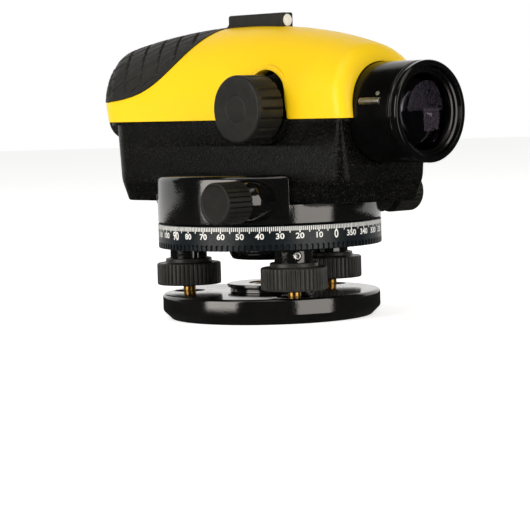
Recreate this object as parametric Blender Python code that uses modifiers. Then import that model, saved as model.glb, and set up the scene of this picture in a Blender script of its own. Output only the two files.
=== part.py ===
"""Automatic level: a telescope with a compensator on a levelling base, as separate solids."""

import math

import bmesh
import bpy
from mathutils import Matrix, Vector

MM = 0.001
GAP = 0.3 * MM
MERGE = 0.00001

# ---- Sizes the others follow ----
CIRCLE_RADIUS = 50.0 * MM
BODY_HALF_WIDTH = 26.5 * MM
COVER_FRONT = 75.4 * MM
COVER_REAR = -88.8 * MM
SPINDLE_RADIUS = 9.0 * MM
BEARING_WALL = 1.8 * MM

# ---- Levelling base ----
BASE_RADIUS = 48.8 * MM
BASE_FOOT_RADIUS = BASE_RADIUS - 3.9 * MM
BASE_HEIGHT = 11.3 * MM
BASE_CHAMFER = 3.8 * MM
BASE_EDGE = 1.6 * MM
HUB_RADIUS = 19.8 * MM
HUB_TOP = 15.0 * MM
HUB_GROOVE = 1.2 * MM
TRIPOD_BORE = 7.2 * MM
BUSH_WALL = 2.6 * MM
SPRING_THICKNESS = 1.0 * MM
SPRING_POCKET = 1.8 * MM
SPRING_HUB_RADIUS = 15.0 * MM
SPRING_ARM_WIDTH = 13.0 * MM
PLATE_SCREW_CIRCLE = 26.0 * MM
PLATE_SCREW_RADIUS = 1.5 * MM

# ---- Foot screws ----
FOOT_COUNT = 3
FOOT_CIRCLE = 38.5 * MM
FOOT_FIRST_ANGLE = math.radians(-148.5)
FOOT_RECESS_RADIUS = 7.0 * MM
FOOT_BALL_RADIUS = 4.0 * MM
FOOT_NECK_RADIUS = 2.8 * MM
FOOT_THREAD_RADIUS = 4.0 * MM
FOOT_SPINDLE_TOP = 31.0 * MM
KNOB_RADIUS = 14.45 * MM
KNOB_BOTTOM = 14.4 * MM
KNOB_TOP = 24.3 * MM
KNOB_FLOOR = 3.0 * MM
COLLAR_RADIUS = KNOB_RADIUS - 4.1 * MM
COLLAR_TOP = 26.3 * MM
FOOT_BOSS_RADIUS = 8.3 * MM
FOOT_BOSS_BOTTOM = 21.5 * MM
SET_SCREW_RADIUS = 1.7 * MM
SET_SCREW_HEIGHT = 29.4 * MM
SET_SCREW_TURN = -5.0

# ---- Tribrach, horizontal circle and vertical axis ----
AXIS_BOSS_BOTTOM = 26.0 * MM
AXIS_BOSS_RADIUS = SPINDLE_RADIUS + BEARING_WALL + 6.2 * MM
AXIS_BOSS_FLARE = AXIS_BOSS_RADIUS + 1.5 * MM
AXIS_BOSS_SHOULDER = 28.7 * MM
CIRCLE_BOTTOM = 32.1 * MM
CIRCLE_TOP = 42.9 * MM
CIRCLE_WALL = 2.6 * MM
CIRCLE_LIP = 1.2 * MM
CIRCLE_LIP_INNER = CIRCLE_RADIUS - 12.0 * MM
CIRCLE_GRIP_HEIGHT = 3.1 * MM
CIRCLE_GRIP_DEPTH = 0.5 * MM
TRIBRACH_TUBE_RADIUS = SPINDLE_RADIUS + BEARING_WALL + 3.2 * MM
SPINDLE_FLANGE = SPINDLE_RADIUS + 3.5 * MM
SPINDLE_FLANGE_HEIGHT = 2.0 * MM
SPINDLE_NUT_HEIGHT = 3.0 * MM

# ---- Alidade housing and endless fine drive ----
HOUSING_RADIUS = CIRCLE_RADIUS
HOUSING_BOTTOM = CIRCLE_TOP + 0.4 * MM
HOUSING_TOP = 64.6 * MM
HOUSING_EDGE = 2.0 * MM
HOUSING_WALL = 3.0 * MM
SADDLE_FLOOR = 51.6 * MM
SADDLE_HALF_WIDTH = BODY_HALF_WIDTH + 1.1 * MM
DRUM_HALF_LENGTH = 37.0 * MM
DRUM_TOP = 60.2 * MM
DRUM_CAVITY_RADIUS = 31.0 * MM
DRUM_ROOF = 2.4 * MM
WORM_X = 30.0 * MM
WORM_Z = 53.5 * MM
WORM_RADIUS = 4.4 * MM
WORM_HALF_LENGTH = 8.0 * MM
SHAFT_RADIUS = 3.0 * MM
WHEEL_TEETH = 40
WHEEL_TOOTH = 0.8 * MM
WHEEL_THICKNESS = 5.0 * MM
FINE_KNOB_RADIUS = 9.0 * MM
FINE_KNOB_LENGTH = 14.0 * MM
FINE_KNOB_FACE = HOUSING_RADIUS + 10.0 * MM
FINE_BUSH_RADIUS = 8.6 * MM
FINE_BUSH_NOSE = 6.6 * MM
FINE_BUSH_DEPTH = 33.0 * MM
ACCESS_SCREW_RADIUS = 2.4 * MM

# ---- Telescope body and cover ----
SIGHT_AXIS = 90.0 * MM
BODY_WALL = 2.4 * MM
BODY_FLOOR = SADDLE_FLOOR + 0.4 * MM
SEAM = 87.9 * MM
BODY_FRONT = COVER_FRONT - 3.1 * MM
BODY_REAR = COVER_REAR + 8.4 * MM
BODY_DRAFT = 0.035
BODY_EDGE_TOP = 61.5 * MM
BODY_EDGE_IN = 1.8 * MM
BODY_REAR_CORNER = 12.0 * MM
BODY_NEAR_CORNERS = (1.2 * MM, 6.0 * MM, 16.0 * MM)
BODY_FAR_CORNERS = (1.2 * MM, 2.0 * MM, 3.0 * MM)
BODY_INNER_CORNER = 0.6 * MM
FLANGE_THICKNESS = 1.2 * MM
FLANGE_INSET = 1.6 * MM
COVER_HALF_WIDTH = BODY_HALF_WIDTH + 0.5 * MM
COVER_BAND_TOP = 95.5 * MM
COVER_CROWN = 129.6 * MM
COVER_CROWN_X = -8.0 * MM
COVER_FALL_FRONT = 0.00165 / MM
COVER_FALL_REAR = 0.00135 / MM
COVER_FRONT_FILLET = 6.5 * MM
COVER_REAR_CORNER = 14.0 * MM
COVER_REAR_FILLET = 5.0 * MM
COVER_FRONT_LEAN = 0.17
COVER_REAR_TUCK = 0.33
COVER_WALL = 2.6 * MM
ARCH_STEPS = 14
ARCH_BAND_SHARE = 0.001
GRIP_THICKNESS = 1.2 * MM
GRIP_PROUD = 0.4 * MM
GRIP_EDGE_HEIGHT = 97.2 * MM
SIGHT_FRONT = 15.3 * MM
SIGHT_REAR = -21.5 * MM
SIGHT_TOP = 134.8 * MM
SIGHT_HALF_WIDTH = 3.6 * MM
SIGHT_HEIGHT = 131.5 * MM
SIGHT_BORE = 2.9 * MM

# ---- Optics ----
OBJECTIVE_RADIUS = 21.4 * MM
OBJECTIVE_BORE = OBJECTIVE_RADIUS - 3.8 * MM
OBJECTIVE_FRONT = COVER_FRONT + 24.1 * MM
OBJECTIVE_REAR = COVER_FRONT - 17.4 * MM
RIM_LENGTH = 4.6 * MM
RIM_OPENING = OBJECTIVE_BORE - 2.0 * MM
LENS_RADIUS = OBJECTIVE_BORE - 0.6 * MM
LENS_X = OBJECTIVE_FRONT - 9.5 * MM
EYEPIECE_END = COVER_REAR - 10.7 * MM
EYEPIECE_RADIUS = 10.0 * MM
EYEPIECE_TUBE_RADIUS = 8.2 * MM
EYEPIECE_LENGTH = 11.6 * MM
EYE_CELL_RADIUS = 7.0 * MM
EYE_LENS_RADIUS = 5.4 * MM
RETICLE_X = -58.0 * MM
RETICLE_RADIUS = 11.0 * MM
FOCUS_X = 27.5 * MM
FOCUS_Z = 92.9 * MM
FOCUS_KNOB_RADIUS = 14.45 * MM
FOCUS_KNOB_BACK = -COVER_HALF_WIDTH - 2.5 * MM
FOCUS_KNOB_FACE = FOCUS_KNOB_BACK - 14.5 * MM
FOCUS_SHAFT_RADIUS = 3.0 * MM
PINION_RADIUS = 3.2 * MM
PINION_INNER_END = -11.5 * MM
NOTCH_RADIUS = 12.2 * MM
NOTCH_CENTRE_Z = 97.3 * MM
NOTCH_FLARE = NOTCH_RADIUS + 1.8 * MM
CARRIAGE_RADIUS = 9.6 * MM
CARRIAGE_LENGTH = 26.0 * MM
CARRIAGE_X = 26.0 * MM
RACK_WIDTH = 3.0 * MM
RACK_LENGTH = 34.0 * MM

# ---- Compensator ----
COMPENSATOR_X = -14.0 * MM
PIVOT_Z = 111.0 * MM
PENDULUM_LENGTH = 30.0 * MM

# ---- Circular bubble ----
BUBBLE_X = -42.0 * MM
BUBBLE_Y = COVER_HALF_WIDTH + 12.5 * MM
BUBBLE_Z = 84.0 * MM
BUBBLE_RADIUS = 10.0 * MM

BIG_STEPS = 44
FINE_STEPS = 32
MEDIUM_STEPS = 24
SMALL_STEPS = 14
SCREW_STEPS = 8


def new_collection(name):
    collection = bpy.data.collections.new(name)
    bpy.context.scene.collection.children.link(collection)
    return collection


for leftover in list(bpy.data.objects):
    bpy.data.objects.remove(leftover, do_unlink=True)

PARTS = new_collection("automatic_level")
CUTTERS = new_collection("cutters")
AXIS_TURN = {
    "Z": Matrix.Identity(4),
    "X": Matrix.Rotation(math.radians(90), 4, "Y"),
    "Y": Matrix.Rotation(math.radians(-90), 4, "X"),
}


def make_material(name, colour, roughness, metallic=0.0):
    material = bpy.data.materials.new(name)
    material.use_nodes = True
    shader = material.node_tree.nodes["Principled BSDF"]
    shader.inputs["Base Color"].default_value = (*colour, 1.0)
    shader.inputs["Roughness"].default_value = roughness
    shader.inputs["Metallic"].default_value = metallic
    return material


GLOSS_BLACK = ((0.012, 0.012, 0.012), 0.25, 0.0)
MATT_BLACK = ((0.02, 0.02, 0.019), 0.6, 0.0)
RUBBER = ((0.028, 0.028, 0.024), 0.75, 0.0)
YELLOW = ((0.87, 0.6, 0.01), 0.35, 0.0)
CIRCLE_BLUE = ((0.01, 0.02, 0.027), 0.4, 0.0)
BRASS = ((0.55, 0.36, 0.12), 0.3, 1.0)
STEEL = ((0.55, 0.55, 0.56), 0.3, 1.0)
ALUMINIUM = ((0.6, 0.6, 0.62), 0.4, 1.0)
GLASS = ((0.25, 0.2, 0.3), 0.05, 0.0)
WHITE = ((0.85, 0.85, 0.85), 0.4, 0.0)


def place(obj, look, smooth_angle=35.0):
    """Put a finished sub-part in the parts collection with its own material."""
    PARTS.objects.link(obj)
    obj.data.materials.append(make_material(obj.name, *look))
    obj.data.shade_smooth()
    obj.data.set_sharp_from_angle(angle=math.radians(smooth_angle))
    return obj


def as_cutter(obj):
    CUTTERS.objects.link(obj)
    obj.hide_render = True
    obj.display_type = "WIRE"
    return obj


def boolean(obj, operand, operation="DIFFERENCE"):
    modifier = obj.modifiers.new(operation.title(), "BOOLEAN")
    modifier.operation = operation
    modifier.solver = "EXACT"
    modifier.object = operand
    return obj


def set_pose(obj, at, axis):
    obj.matrix_world = Matrix.Translation(Vector(at)) @ AXIS_TURN[axis]


def turned(name, outline, at=(0.0, 0.0, 0.0), axis="Z", steps=MEDIUM_STEPS, closed=False):
    """Turned shape from (radius, height) points, the outer side running downwards."""
    mesh = bpy.data.meshes.new(name)
    points = [(radius, 0.0, height) for radius, height in outline]
    edges = [(i, i + 1) for i in range(len(points) - 1)]
    if closed:
        edges.append((len(points) - 1, 0))
    mesh.from_pydata(points, edges, [])
    obj = bpy.data.objects.new(name, mesh)
    screw = obj.modifiers.new("Screw", "SCREW")
    screw.axis = "Z"
    screw.angle = math.tau
    screw.steps = steps
    screw.render_steps = steps
    screw.use_merge_vertices = True
    screw.merge_threshold = MERGE
    set_pose(obj, at, axis)
    return obj


def disc_outline(radius, low, high, edge=0.0):
    """Solid disc or rod between two heights, with chamfered ends if edge is given."""
    if edge == 0.0:
        return [(0.0, high), (radius, high), (radius, low), (0.0, low)]
    return [
        (0.0, high),
        (radius - edge, high),
        (radius, high - edge),
        (radius, low + edge),
        (radius - edge, low),
        (0.0, low),
    ]


def ring_outline(inner, outer, low, high, edge=0.0):
    """Closed ring section, the outer side running downwards."""
    if edge == 0.0:
        return [(inner, high), (outer, high), (outer, low), (inner, low)]
    return [
        (inner, high),
        (outer - edge, high),
        (outer, high - edge),
        (outer, low + edge),
        (outer - edge, low),
        (inner, low),
    ]


def rod_cutter(name, radius, low, high, at=(0.0, 0.0, 0.0), axis="Z", steps=MEDIUM_STEPS):
    return as_cutter(turned(name, disc_outline(radius, low, high), at, axis, steps))


def block(name, low, high, edge=0.0, origin=None):
    """Box between two corners, with its origin at its middle unless one is given."""
    low = Vector(low)
    high = Vector(high)
    centre = (low + high) / 2
    origin = centre if origin is None else Vector(origin)
    mesh = bpy.data.meshes.new(name)
    cage = bmesh.new()
    bmesh.ops.create_cube(cage, size=1.0)
    bmesh.ops.scale(cage, vec=high - low, verts=cage.verts)
    bmesh.ops.translate(cage, vec=centre - origin, verts=cage.verts)
    cage.to_mesh(mesh)
    cage.free()
    obj = bpy.data.objects.new(name, mesh)
    obj.location = origin
    if edge:
        bevel = obj.modifiers.new("Bevel", "BEVEL")
        bevel.width = edge
        bevel.segments = 2
    return obj


def plate(name, outline, thickness, at, axis="Z"):
    """Flat outline in its own plane, extruded both ways from it and made a mesh."""
    curve = bpy.data.curves.new(name, "CURVE")
    curve.dimensions = "2D"
    curve.fill_mode = "BOTH"
    curve.extrude = thickness / 2
    spline = curve.splines.new("POLY")
    spline.points.add(len(outline) - 1)
    for point, (x, y) in zip(spline.points, outline):
        point.co = (x, y, 0.0, 1.0)
    spline.use_cyclic_u = True
    guide = bpy.data.objects.new(name + "_outline", curve)
    CUTTERS.objects.link(guide)
    depsgraph = bpy.context.evaluated_depsgraph_get()
    mesh = bpy.data.meshes.new_from_object(guide.evaluated_get(depsgraph))
    bpy.data.objects.remove(guide, do_unlink=True)
    cage = bmesh.new()
    cage.from_mesh(mesh)
    bmesh.ops.remove_doubles(cage, verts=cage.verts, dist=MERGE)
    bmesh.ops.recalc_face_normals(cage, faces=cage.faces)
    cage.to_mesh(mesh)
    cage.free()
    obj = bpy.data.objects.new(name, mesh)
    set_pose(obj, at, axis)
    return obj


def arc(centre, radius, start, end, steps):
    """Points on an arc, angles in degrees."""
    points = []
    for i in range(steps + 1):
        angle = math.radians(start + (end - start) * i / steps)
        points.append((centre[0] + radius * math.cos(angle), centre[1] + radius * math.sin(angle)))
    return points


def polar(radius, angle):
    return radius * math.cos(angle), radius * math.sin(angle)


FOOT_ANGLES = [FOOT_FIRST_ANGLE + math.tau * i / FOOT_COUNT for i in range(FOOT_COUNT)]


# ---------------------------------------------------------------- levelling base
def make_base_plate():
    bush_radius = TRIPOD_BORE + BUSH_WALL
    neck = HUB_RADIUS - HUB_GROOVE
    outline = [
        (bush_radius + GAP, HUB_TOP),
        (HUB_RADIUS, HUB_TOP),
        (HUB_RADIUS, HUB_TOP - 1.4 * MM),
        (neck, HUB_TOP - 1.8 * MM),
        (neck, BASE_HEIGHT),
        (BASE_RADIUS - BASE_EDGE, BASE_HEIGHT),
        (BASE_RADIUS - BASE_EDGE * 0.3, BASE_HEIGHT - BASE_EDGE * 0.3),
        (BASE_RADIUS, BASE_HEIGHT - BASE_EDGE),
        (BASE_RADIUS, BASE_CHAMFER),
        (BASE_FOOT_RADIUS, 0.0),
        (bush_radius + GAP, 0.0),
    ]
    base = turned("base_plate", outline, steps=BIG_STEPS, closed=True)
    for number, angle in enumerate(FOOT_ANGLES, 1):
        x, y = polar(FOOT_CIRCLE, angle)
        recess = rod_cutter(f"foot_recess_{number}", FOOT_RECESS_RADIUS, -MM, HUB_TOP,
                            (x, y, 0.0), steps=SMALL_STEPS)
        boolean(base, recess)
        x, y = polar(PLATE_SCREW_CIRCLE, angle + math.pi / FOOT_COUNT)
        hole = rod_cutter(f"plate_screw_hole_{number}", PLATE_SCREW_RADIUS + GAP, -MM,
                          BASE_HEIGHT - 2.5 * MM, (x, y, 0.0), steps=SCREW_STEPS)
        boolean(base, hole)
    pocket = as_cutter(spring_shape("spring_pocket", GAP, SPRING_POCKET * 2, 0.0))
    boolean(base, pocket)
    return place(base, GLOSS_BLACK)


def spring_shape(name, grow, thickness, height):
    """Star-shaped sheet: an arm under each foot screw and a lobe for each plate screw."""
    arm = SPRING_ARM_WIDTH / 2 + grow
    lobe = PLATE_SCREW_RADIUS + 3.0 * MM + grow
    outline = []
    for angle in FOOT_ANGLES:
        for reach, half, turn in ((FOOT_CIRCLE, arm, 0.0),
                                  (PLATE_SCREW_CIRCLE, lobe, math.pi / FOOT_COUNT)):
            spin = Matrix.Rotation(angle + turn, 2)
            outline.extend(tuple(spin @ Vector(p)) for p in arc((reach, 0.0), half, -90, 90, 6))
            root = SPRING_HUB_RADIUS + grow
            outline.append(tuple(spin @ Vector((root, half))))
            outline.append(tuple(spin @ Vector(polar(root, math.radians(30)))))
    return plate(name, outline, thickness, (0.0, 0.0, height))


def make_spring_plate():
    height = GAP + SPRING_THICKNESS / 2
    spring = spring_shape("spring_plate", 0.0, SPRING_THICKNESS, height)
    bush = rod_cutter("spring_plate_bore", TRIPOD_BORE + BUSH_WALL + GAP, -MM, 3 * MM)
    boolean(spring, bush)
    for number, angle in enumerate(FOOT_ANGLES, 1):
        x, y = polar(PLATE_SCREW_CIRCLE, angle + math.pi / FOOT_COUNT)
        hole = rod_cutter(f"spring_hole_{number}", PLATE_SCREW_RADIUS + GAP, -MM, 3 * MM,
                          (x, y, 0.0), steps=SCREW_STEPS)
        boolean(spring, hole)
    return place(spring, STEEL)


def make_plate_screws():
    """Screws up into the base: the head lies in the pocket under the sheet's own face."""
    for number, angle in enumerate(FOOT_ANGLES, 1):
        x, y = polar(PLATE_SCREW_CIRCLE, angle + math.pi / FOOT_COUNT)
        top = BASE_HEIGHT - 2.5 * MM - GAP
        screw = turned(f"spring_screw_{number}",
                       disc_outline(PLATE_SCREW_RADIUS, GAP, top, 0.3 * MM), (x, y, 0.0), steps=SCREW_STEPS)
        place(screw, STEEL)


def make_thread_bush():
    """Bush that the tripod's fixing screw goes into."""
    outer = TRIPOD_BORE + BUSH_WALL
    bush = turned("thread_bush", ring_outline(TRIPOD_BORE, outer, 0.0, HUB_TOP - 0.5 * MM, 0.4 * MM),
                  closed=True)
    return place(bush, BRASS)


def make_foot_screw(number, angle):
    x, y = polar(FOOT_CIRCLE, angle)
    ball_z = GAP * 2 + SPRING_THICKNESS + FOOT_BALL_RADIUS
    ball = arc((0.0, ball_z), FOOT_BALL_RADIUS, 45, -90, 5)
    spindle = turned(
        f"foot_spindle_{number}",
        [
            (0.0, FOOT_SPINDLE_TOP),
            (FOOT_THREAD_RADIUS - 0.8 * MM, FOOT_SPINDLE_TOP),
            (FOOT_THREAD_RADIUS, FOOT_SPINDLE_TOP - 0.8 * MM),
            (FOOT_THREAD_RADIUS, KNOB_BOTTOM),
            (FOOT_NECK_RADIUS, KNOB_BOTTOM - 0.8 * MM),
        ] + ball,
        (x, y, 0.0), steps=SMALL_STEPS)
    place(spindle, BRASS)
    bore = FOOT_THREAD_RADIUS + GAP
    cup = FOOT_BOSS_RADIUS + GAP * 1.3
    floor = KNOB_BOTTOM + KNOB_FLOOR
    knob = turned(
        f"foot_knob_{number}",
        [
            (cup, COLLAR_TOP),
            (COLLAR_RADIUS - 0.4 * MM, COLLAR_TOP),
            (COLLAR_RADIUS, COLLAR_TOP - 0.4 * MM),
            (COLLAR_RADIUS, KNOB_TOP),
            (KNOB_RADIUS - 1.2 * MM, KNOB_TOP),
            (KNOB_RADIUS, KNOB_TOP - 1.2 * MM),
            (KNOB_RADIUS, KNOB_BOTTOM + 0.8 * MM),
            (KNOB_RADIUS - 0.8 * MM, KNOB_BOTTOM),
            (bore, KNOB_BOTTOM),
            (bore, floor),
            (cup, floor),
        ],
        (x, y, 0.0), steps=MEDIUM_STEPS, closed=True)
    place(knob, RUBBER)


# ---------------------------------------------------------------- tribrach and circle
def make_tribrach():
    plate_radius = CIRCLE_RADIUS - CIRCLE_WALL - GAP * 2
    plate_top = CIRCLE_TOP - CIRCLE_LIP - GAP
    plate_bottom = CIRCLE_BOTTOM + GAP
    bearing = SPINDLE_RADIUS + GAP + BEARING_WALL + GAP
    nut_room = SPINDLE_RADIUS + 2.5 * MM
    wheel_seat = WORM_Z - WHEEL_THICKNESS / 2 - GAP
    tube_top = DRUM_TOP - DRUM_ROOF - SPINDLE_FLANGE_HEIGHT - GAP * 2
    outline = [
        (bearing, tube_top),
        (TRIBRACH_TUBE_RADIUS, tube_top),
        (TRIBRACH_TUBE_RADIUS, wheel_seat),
        (TRIBRACH_TUBE_RADIUS + 3 * MM, wheel_seat),
        (TRIBRACH_TUBE_RADIUS + 3 * MM, plate_top),
        (plate_radius, plate_top),
        (plate_radius, plate_bottom),
        (AXIS_BOSS_FLARE, plate_bottom),
        (AXIS_BOSS_FLARE, AXIS_BOSS_SHOULDER),
        (AXIS_BOSS_RADIUS, AXIS_BOSS_BOTTOM),
        (nut_room, AXIS_BOSS_BOTTOM),
        (nut_room, AXIS_BOSS_BOTTOM + SPINDLE_NUT_HEIGHT + MM),
        (bearing, AXIS_BOSS_BOTTOM + SPINDLE_NUT_HEIGHT + MM),
    ]
    tribrach = turned("tribrach", outline, steps=BIG_STEPS, closed=True)
    for number, angle in enumerate(FOOT_ANGLES, 1):
        x, y = polar(FOOT_CIRCLE, angle)
        boss = as_cutter(turned(f"foot_boss_{number}",
                                disc_outline(FOOT_BOSS_RADIUS, FOOT_BOSS_BOTTOM, plate_bottom + MM),
                                (x, y, 0.0), steps=MEDIUM_STEPS))
        boolean(tribrach, boss, "UNION")
        bore = rod_cutter(f"foot_bore_{number}", FOOT_THREAD_RADIUS + GAP, FOOT_BOSS_BOTTOM - MM,
                          plate_top - 2 * MM, (x, y, 0.0), steps=SMALL_STEPS)
        boolean(tribrach, bore)
        depth = FOOT_BOSS_RADIUS - FOOT_THREAD_RADIUS - 1.5 * MM
        seat = rod_cutter(f"set_screw_seat_{number}", SET_SCREW_RADIUS + GAP, 0.0, depth + 2 * MM,
                          set_screw_foot(angle, depth), "X", steps=SCREW_STEPS)
        seat.rotation_euler = (0.0, math.radians(90), set_screw_heading(angle))
        boolean(tribrach, seat)
    return place(tribrach, GLOSS_BLACK)


def set_screw_heading(angle):
    """Each adjusting screw faces outwards, a little to one side of its boss."""
    return angle + math.radians(SET_SCREW_TURN)


def set_screw_foot(angle, depth):
    heading = set_screw_heading(angle)
    x, y = polar(FOOT_CIRCLE, angle)
    reach = FOOT_BOSS_RADIUS - depth
    return (x + reach * math.cos(heading), y + reach * math.sin(heading), SET_SCREW_HEIGHT)


def make_set_screw(number, angle):
    depth = FOOT_BOSS_RADIUS - FOOT_THREAD_RADIUS - 1.5 * MM
    length = depth - GAP
    socket = SET_SCREW_RADIUS * 0.55
    outline = [
        (0.0, length - MM),
        (socket, length - MM),
        (socket, length),
        (SET_SCREW_RADIUS, length),
        (SET_SCREW_RADIUS, GAP),
        (0.0, GAP),
    ]
    screw = turned(f"foot_set_screw_{number}", outline, set_screw_foot(angle, depth), "X", steps=SCREW_STEPS)
    screw.rotation_euler = (0.0, math.radians(90), set_screw_heading(angle))
    place(screw, STEEL)


def make_spindle_bearing():
    low = AXIS_BOSS_BOTTOM + SPINDLE_NUT_HEIGHT + MM
    high = DRUM_TOP - DRUM_ROOF - SPINDLE_FLANGE_HEIGHT - GAP * 2
    inner = SPINDLE_RADIUS + GAP
    bearing = turned("spindle_bearing", ring_outline(inner, inner + BEARING_WALL, low, high),
                     closed=True)
    place(bearing, BRASS)


def make_horizontal_circle():
    inner = CIRCLE_RADIUS - CIRCLE_WALL
    grip_top = CIRCLE_BOTTOM + CIRCLE_GRIP_HEIGHT
    grip_radius = CIRCLE_RADIUS - CIRCLE_GRIP_DEPTH
    outline = [
        (CIRCLE_LIP_INNER, CIRCLE_TOP),
        (CIRCLE_RADIUS - 0.3 * MM, CIRCLE_TOP),
        (CIRCLE_RADIUS, CIRCLE_TOP - 0.3 * MM),
        (CIRCLE_RADIUS, grip_top),
        (grip_radius, grip_top),
        (grip_radius, CIRCLE_BOTTOM),
        (inner, CIRCLE_BOTTOM),
        (inner, CIRCLE_TOP - CIRCLE_LIP),
        (CIRCLE_LIP_INNER, CIRCLE_TOP - CIRCLE_LIP),
    ]
    ring = turned("horizontal_circle", outline, steps=BIG_STEPS, closed=True)
    place(ring, CIRCLE_BLUE)


# ---------------------------------------------------------------- alidade and fine drive
def make_alidade_housing():
    cavity = CIRCLE_LIP_INNER
    roof = DRUM_TOP - DRUM_ROOF
    ledge = SADDLE_FLOOR - HOUSING_WALL
    drum = min(DRUM_CAVITY_RADIUS, cavity)
    outline = [
        (0.0, HOUSING_TOP),
        (HOUSING_RADIUS - HOUSING_EDGE, HOUSING_TOP),
        (HOUSING_RADIUS - HOUSING_EDGE * 0.3, HOUSING_TOP - HOUSING_EDGE * 0.3),
        (HOUSING_RADIUS, HOUSING_TOP - HOUSING_EDGE),
        (HOUSING_RADIUS, HOUSING_BOTTOM + 0.5 * MM),
        (HOUSING_RADIUS - 0.5 * MM, HOUSING_BOTTOM),
        (cavity, HOUSING_BOTTOM),
        (cavity, ledge),
        (drum, ledge),
        (drum, roof),
        (0.0, roof),
    ]
    housing = turned("alidade_housing", outline, steps=BIG_STEPS)
    reach = HOUSING_RADIUS + 5 * MM
    saddle = as_cutter(block("saddle_top", (-reach, -SADDLE_HALF_WIDTH, DRUM_TOP),
                             (reach, SADDLE_HALF_WIDTH, HOUSING_TOP + 5 * MM)))
    boolean(housing, saddle)
    for side, name in ((1, "saddle_front"), (-1, "saddle_rear")):
        near, far = sorted((side * DRUM_HALF_LENGTH, side * reach))
        notch = as_cutter(block(name, (near, -SADDLE_HALF_WIDTH, SADDLE_FLOOR),
                                (far, SADDLE_HALF_WIDTH, HOUSING_TOP + 5 * MM)))
        boolean(housing, notch)
    bush_end = FINE_BUSH_DEPTH - GAP
    tunnels = (
        ("worm_tunnel", WORM_RADIUS + GAP * 2, -bush_end - GAP, bush_end + GAP),
        ("bush_bore_near", FINE_BUSH_RADIUS + GAP, -reach, -bush_end),
        ("bush_bore_far", FINE_BUSH_RADIUS + GAP, bush_end, reach),
    )
    for name, radius, low, high in tunnels:
        tunnel = rod_cutter(name, radius, low, high, (WORM_X, 0.0, WORM_Z), "Y")
        boolean(housing, tunnel)
    access = rod_cutter("access_screw_hole", ACCESS_SCREW_RADIUS + GAP, -reach, -HOUSING_RADIUS + 3 * MM,
                        (0.0, 0.0, WORM_Z), "X", steps=SCREW_STEPS)
    access.rotation_euler = access_turn()
    boolean(housing, access)
    return place(housing, GLOSS_BLACK)


def access_turn():
    """The access screw looks backwards and towards the focusing side."""
    return (0.0, math.radians(90), math.radians(42.0))


def make_access_screw():
    outline = disc_outline(ACCESS_SCREW_RADIUS, -HOUSING_RADIUS - 0.6 * MM,
                           -HOUSING_RADIUS + 3 * MM - GAP, 0.5 * MM)
    screw = turned("access_screw", outline, (0.0, 0.0, WORM_Z), "X", steps=SCREW_STEPS)
    screw.rotation_euler = access_turn()
    place(screw, STEEL)


def make_vertical_spindle():
    top = DRUM_TOP - DRUM_ROOF - GAP
    flange = top - SPINDLE_FLANGE_HEIGHT
    end = AXIS_BOSS_BOTTOM + SPINDLE_NUT_HEIGHT + MM
    stub = SPINDLE_RADIUS - 3 * MM
    outline = [
        (0.0, top),
        (SPINDLE_FLANGE, top),
        (SPINDLE_FLANGE, flange),
        (SPINDLE_RADIUS, flange),
        (SPINDLE_RADIUS, end),
        (stub, end - GAP),
        (stub, AXIS_BOSS_BOTTOM + 0.5 * MM),
        (0.0, AXIS_BOSS_BOTTOM + 0.5 * MM),
    ]
    place(turned("vertical_spindle", outline), STEEL)
    nut = turned("spindle_nut",
                 ring_outline(stub + GAP, SPINDLE_RADIUS + 2 * MM, AXIS_BOSS_BOTTOM + 0.5 * MM,
                              end - GAP * 2), steps=SMALL_STEPS, closed=True)
    place(nut, STEEL)


def make_worm_wheel():
    tip = WORM_X - WORM_RADIUS - GAP
    outline = []
    for tooth in range(WHEEL_TEETH):
        start = math.tau * tooth / WHEEL_TEETH
        outline.append(polar(tip, start))
        outline.append(polar(tip - WHEEL_TOOTH, start + math.pi / WHEEL_TEETH))
    wheel = plate("worm_wheel", outline, WHEEL_THICKNESS, (0.0, 0.0, WORM_Z))
    bore = rod_cutter("worm_wheel_bore", TRIBRACH_TUBE_RADIUS + GAP, -WHEEL_THICKNESS,
                      WHEEL_THICKNESS, (0.0, 0.0, WORM_Z))
    boolean(wheel, bore)
    place(wheel, BRASS)


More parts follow.
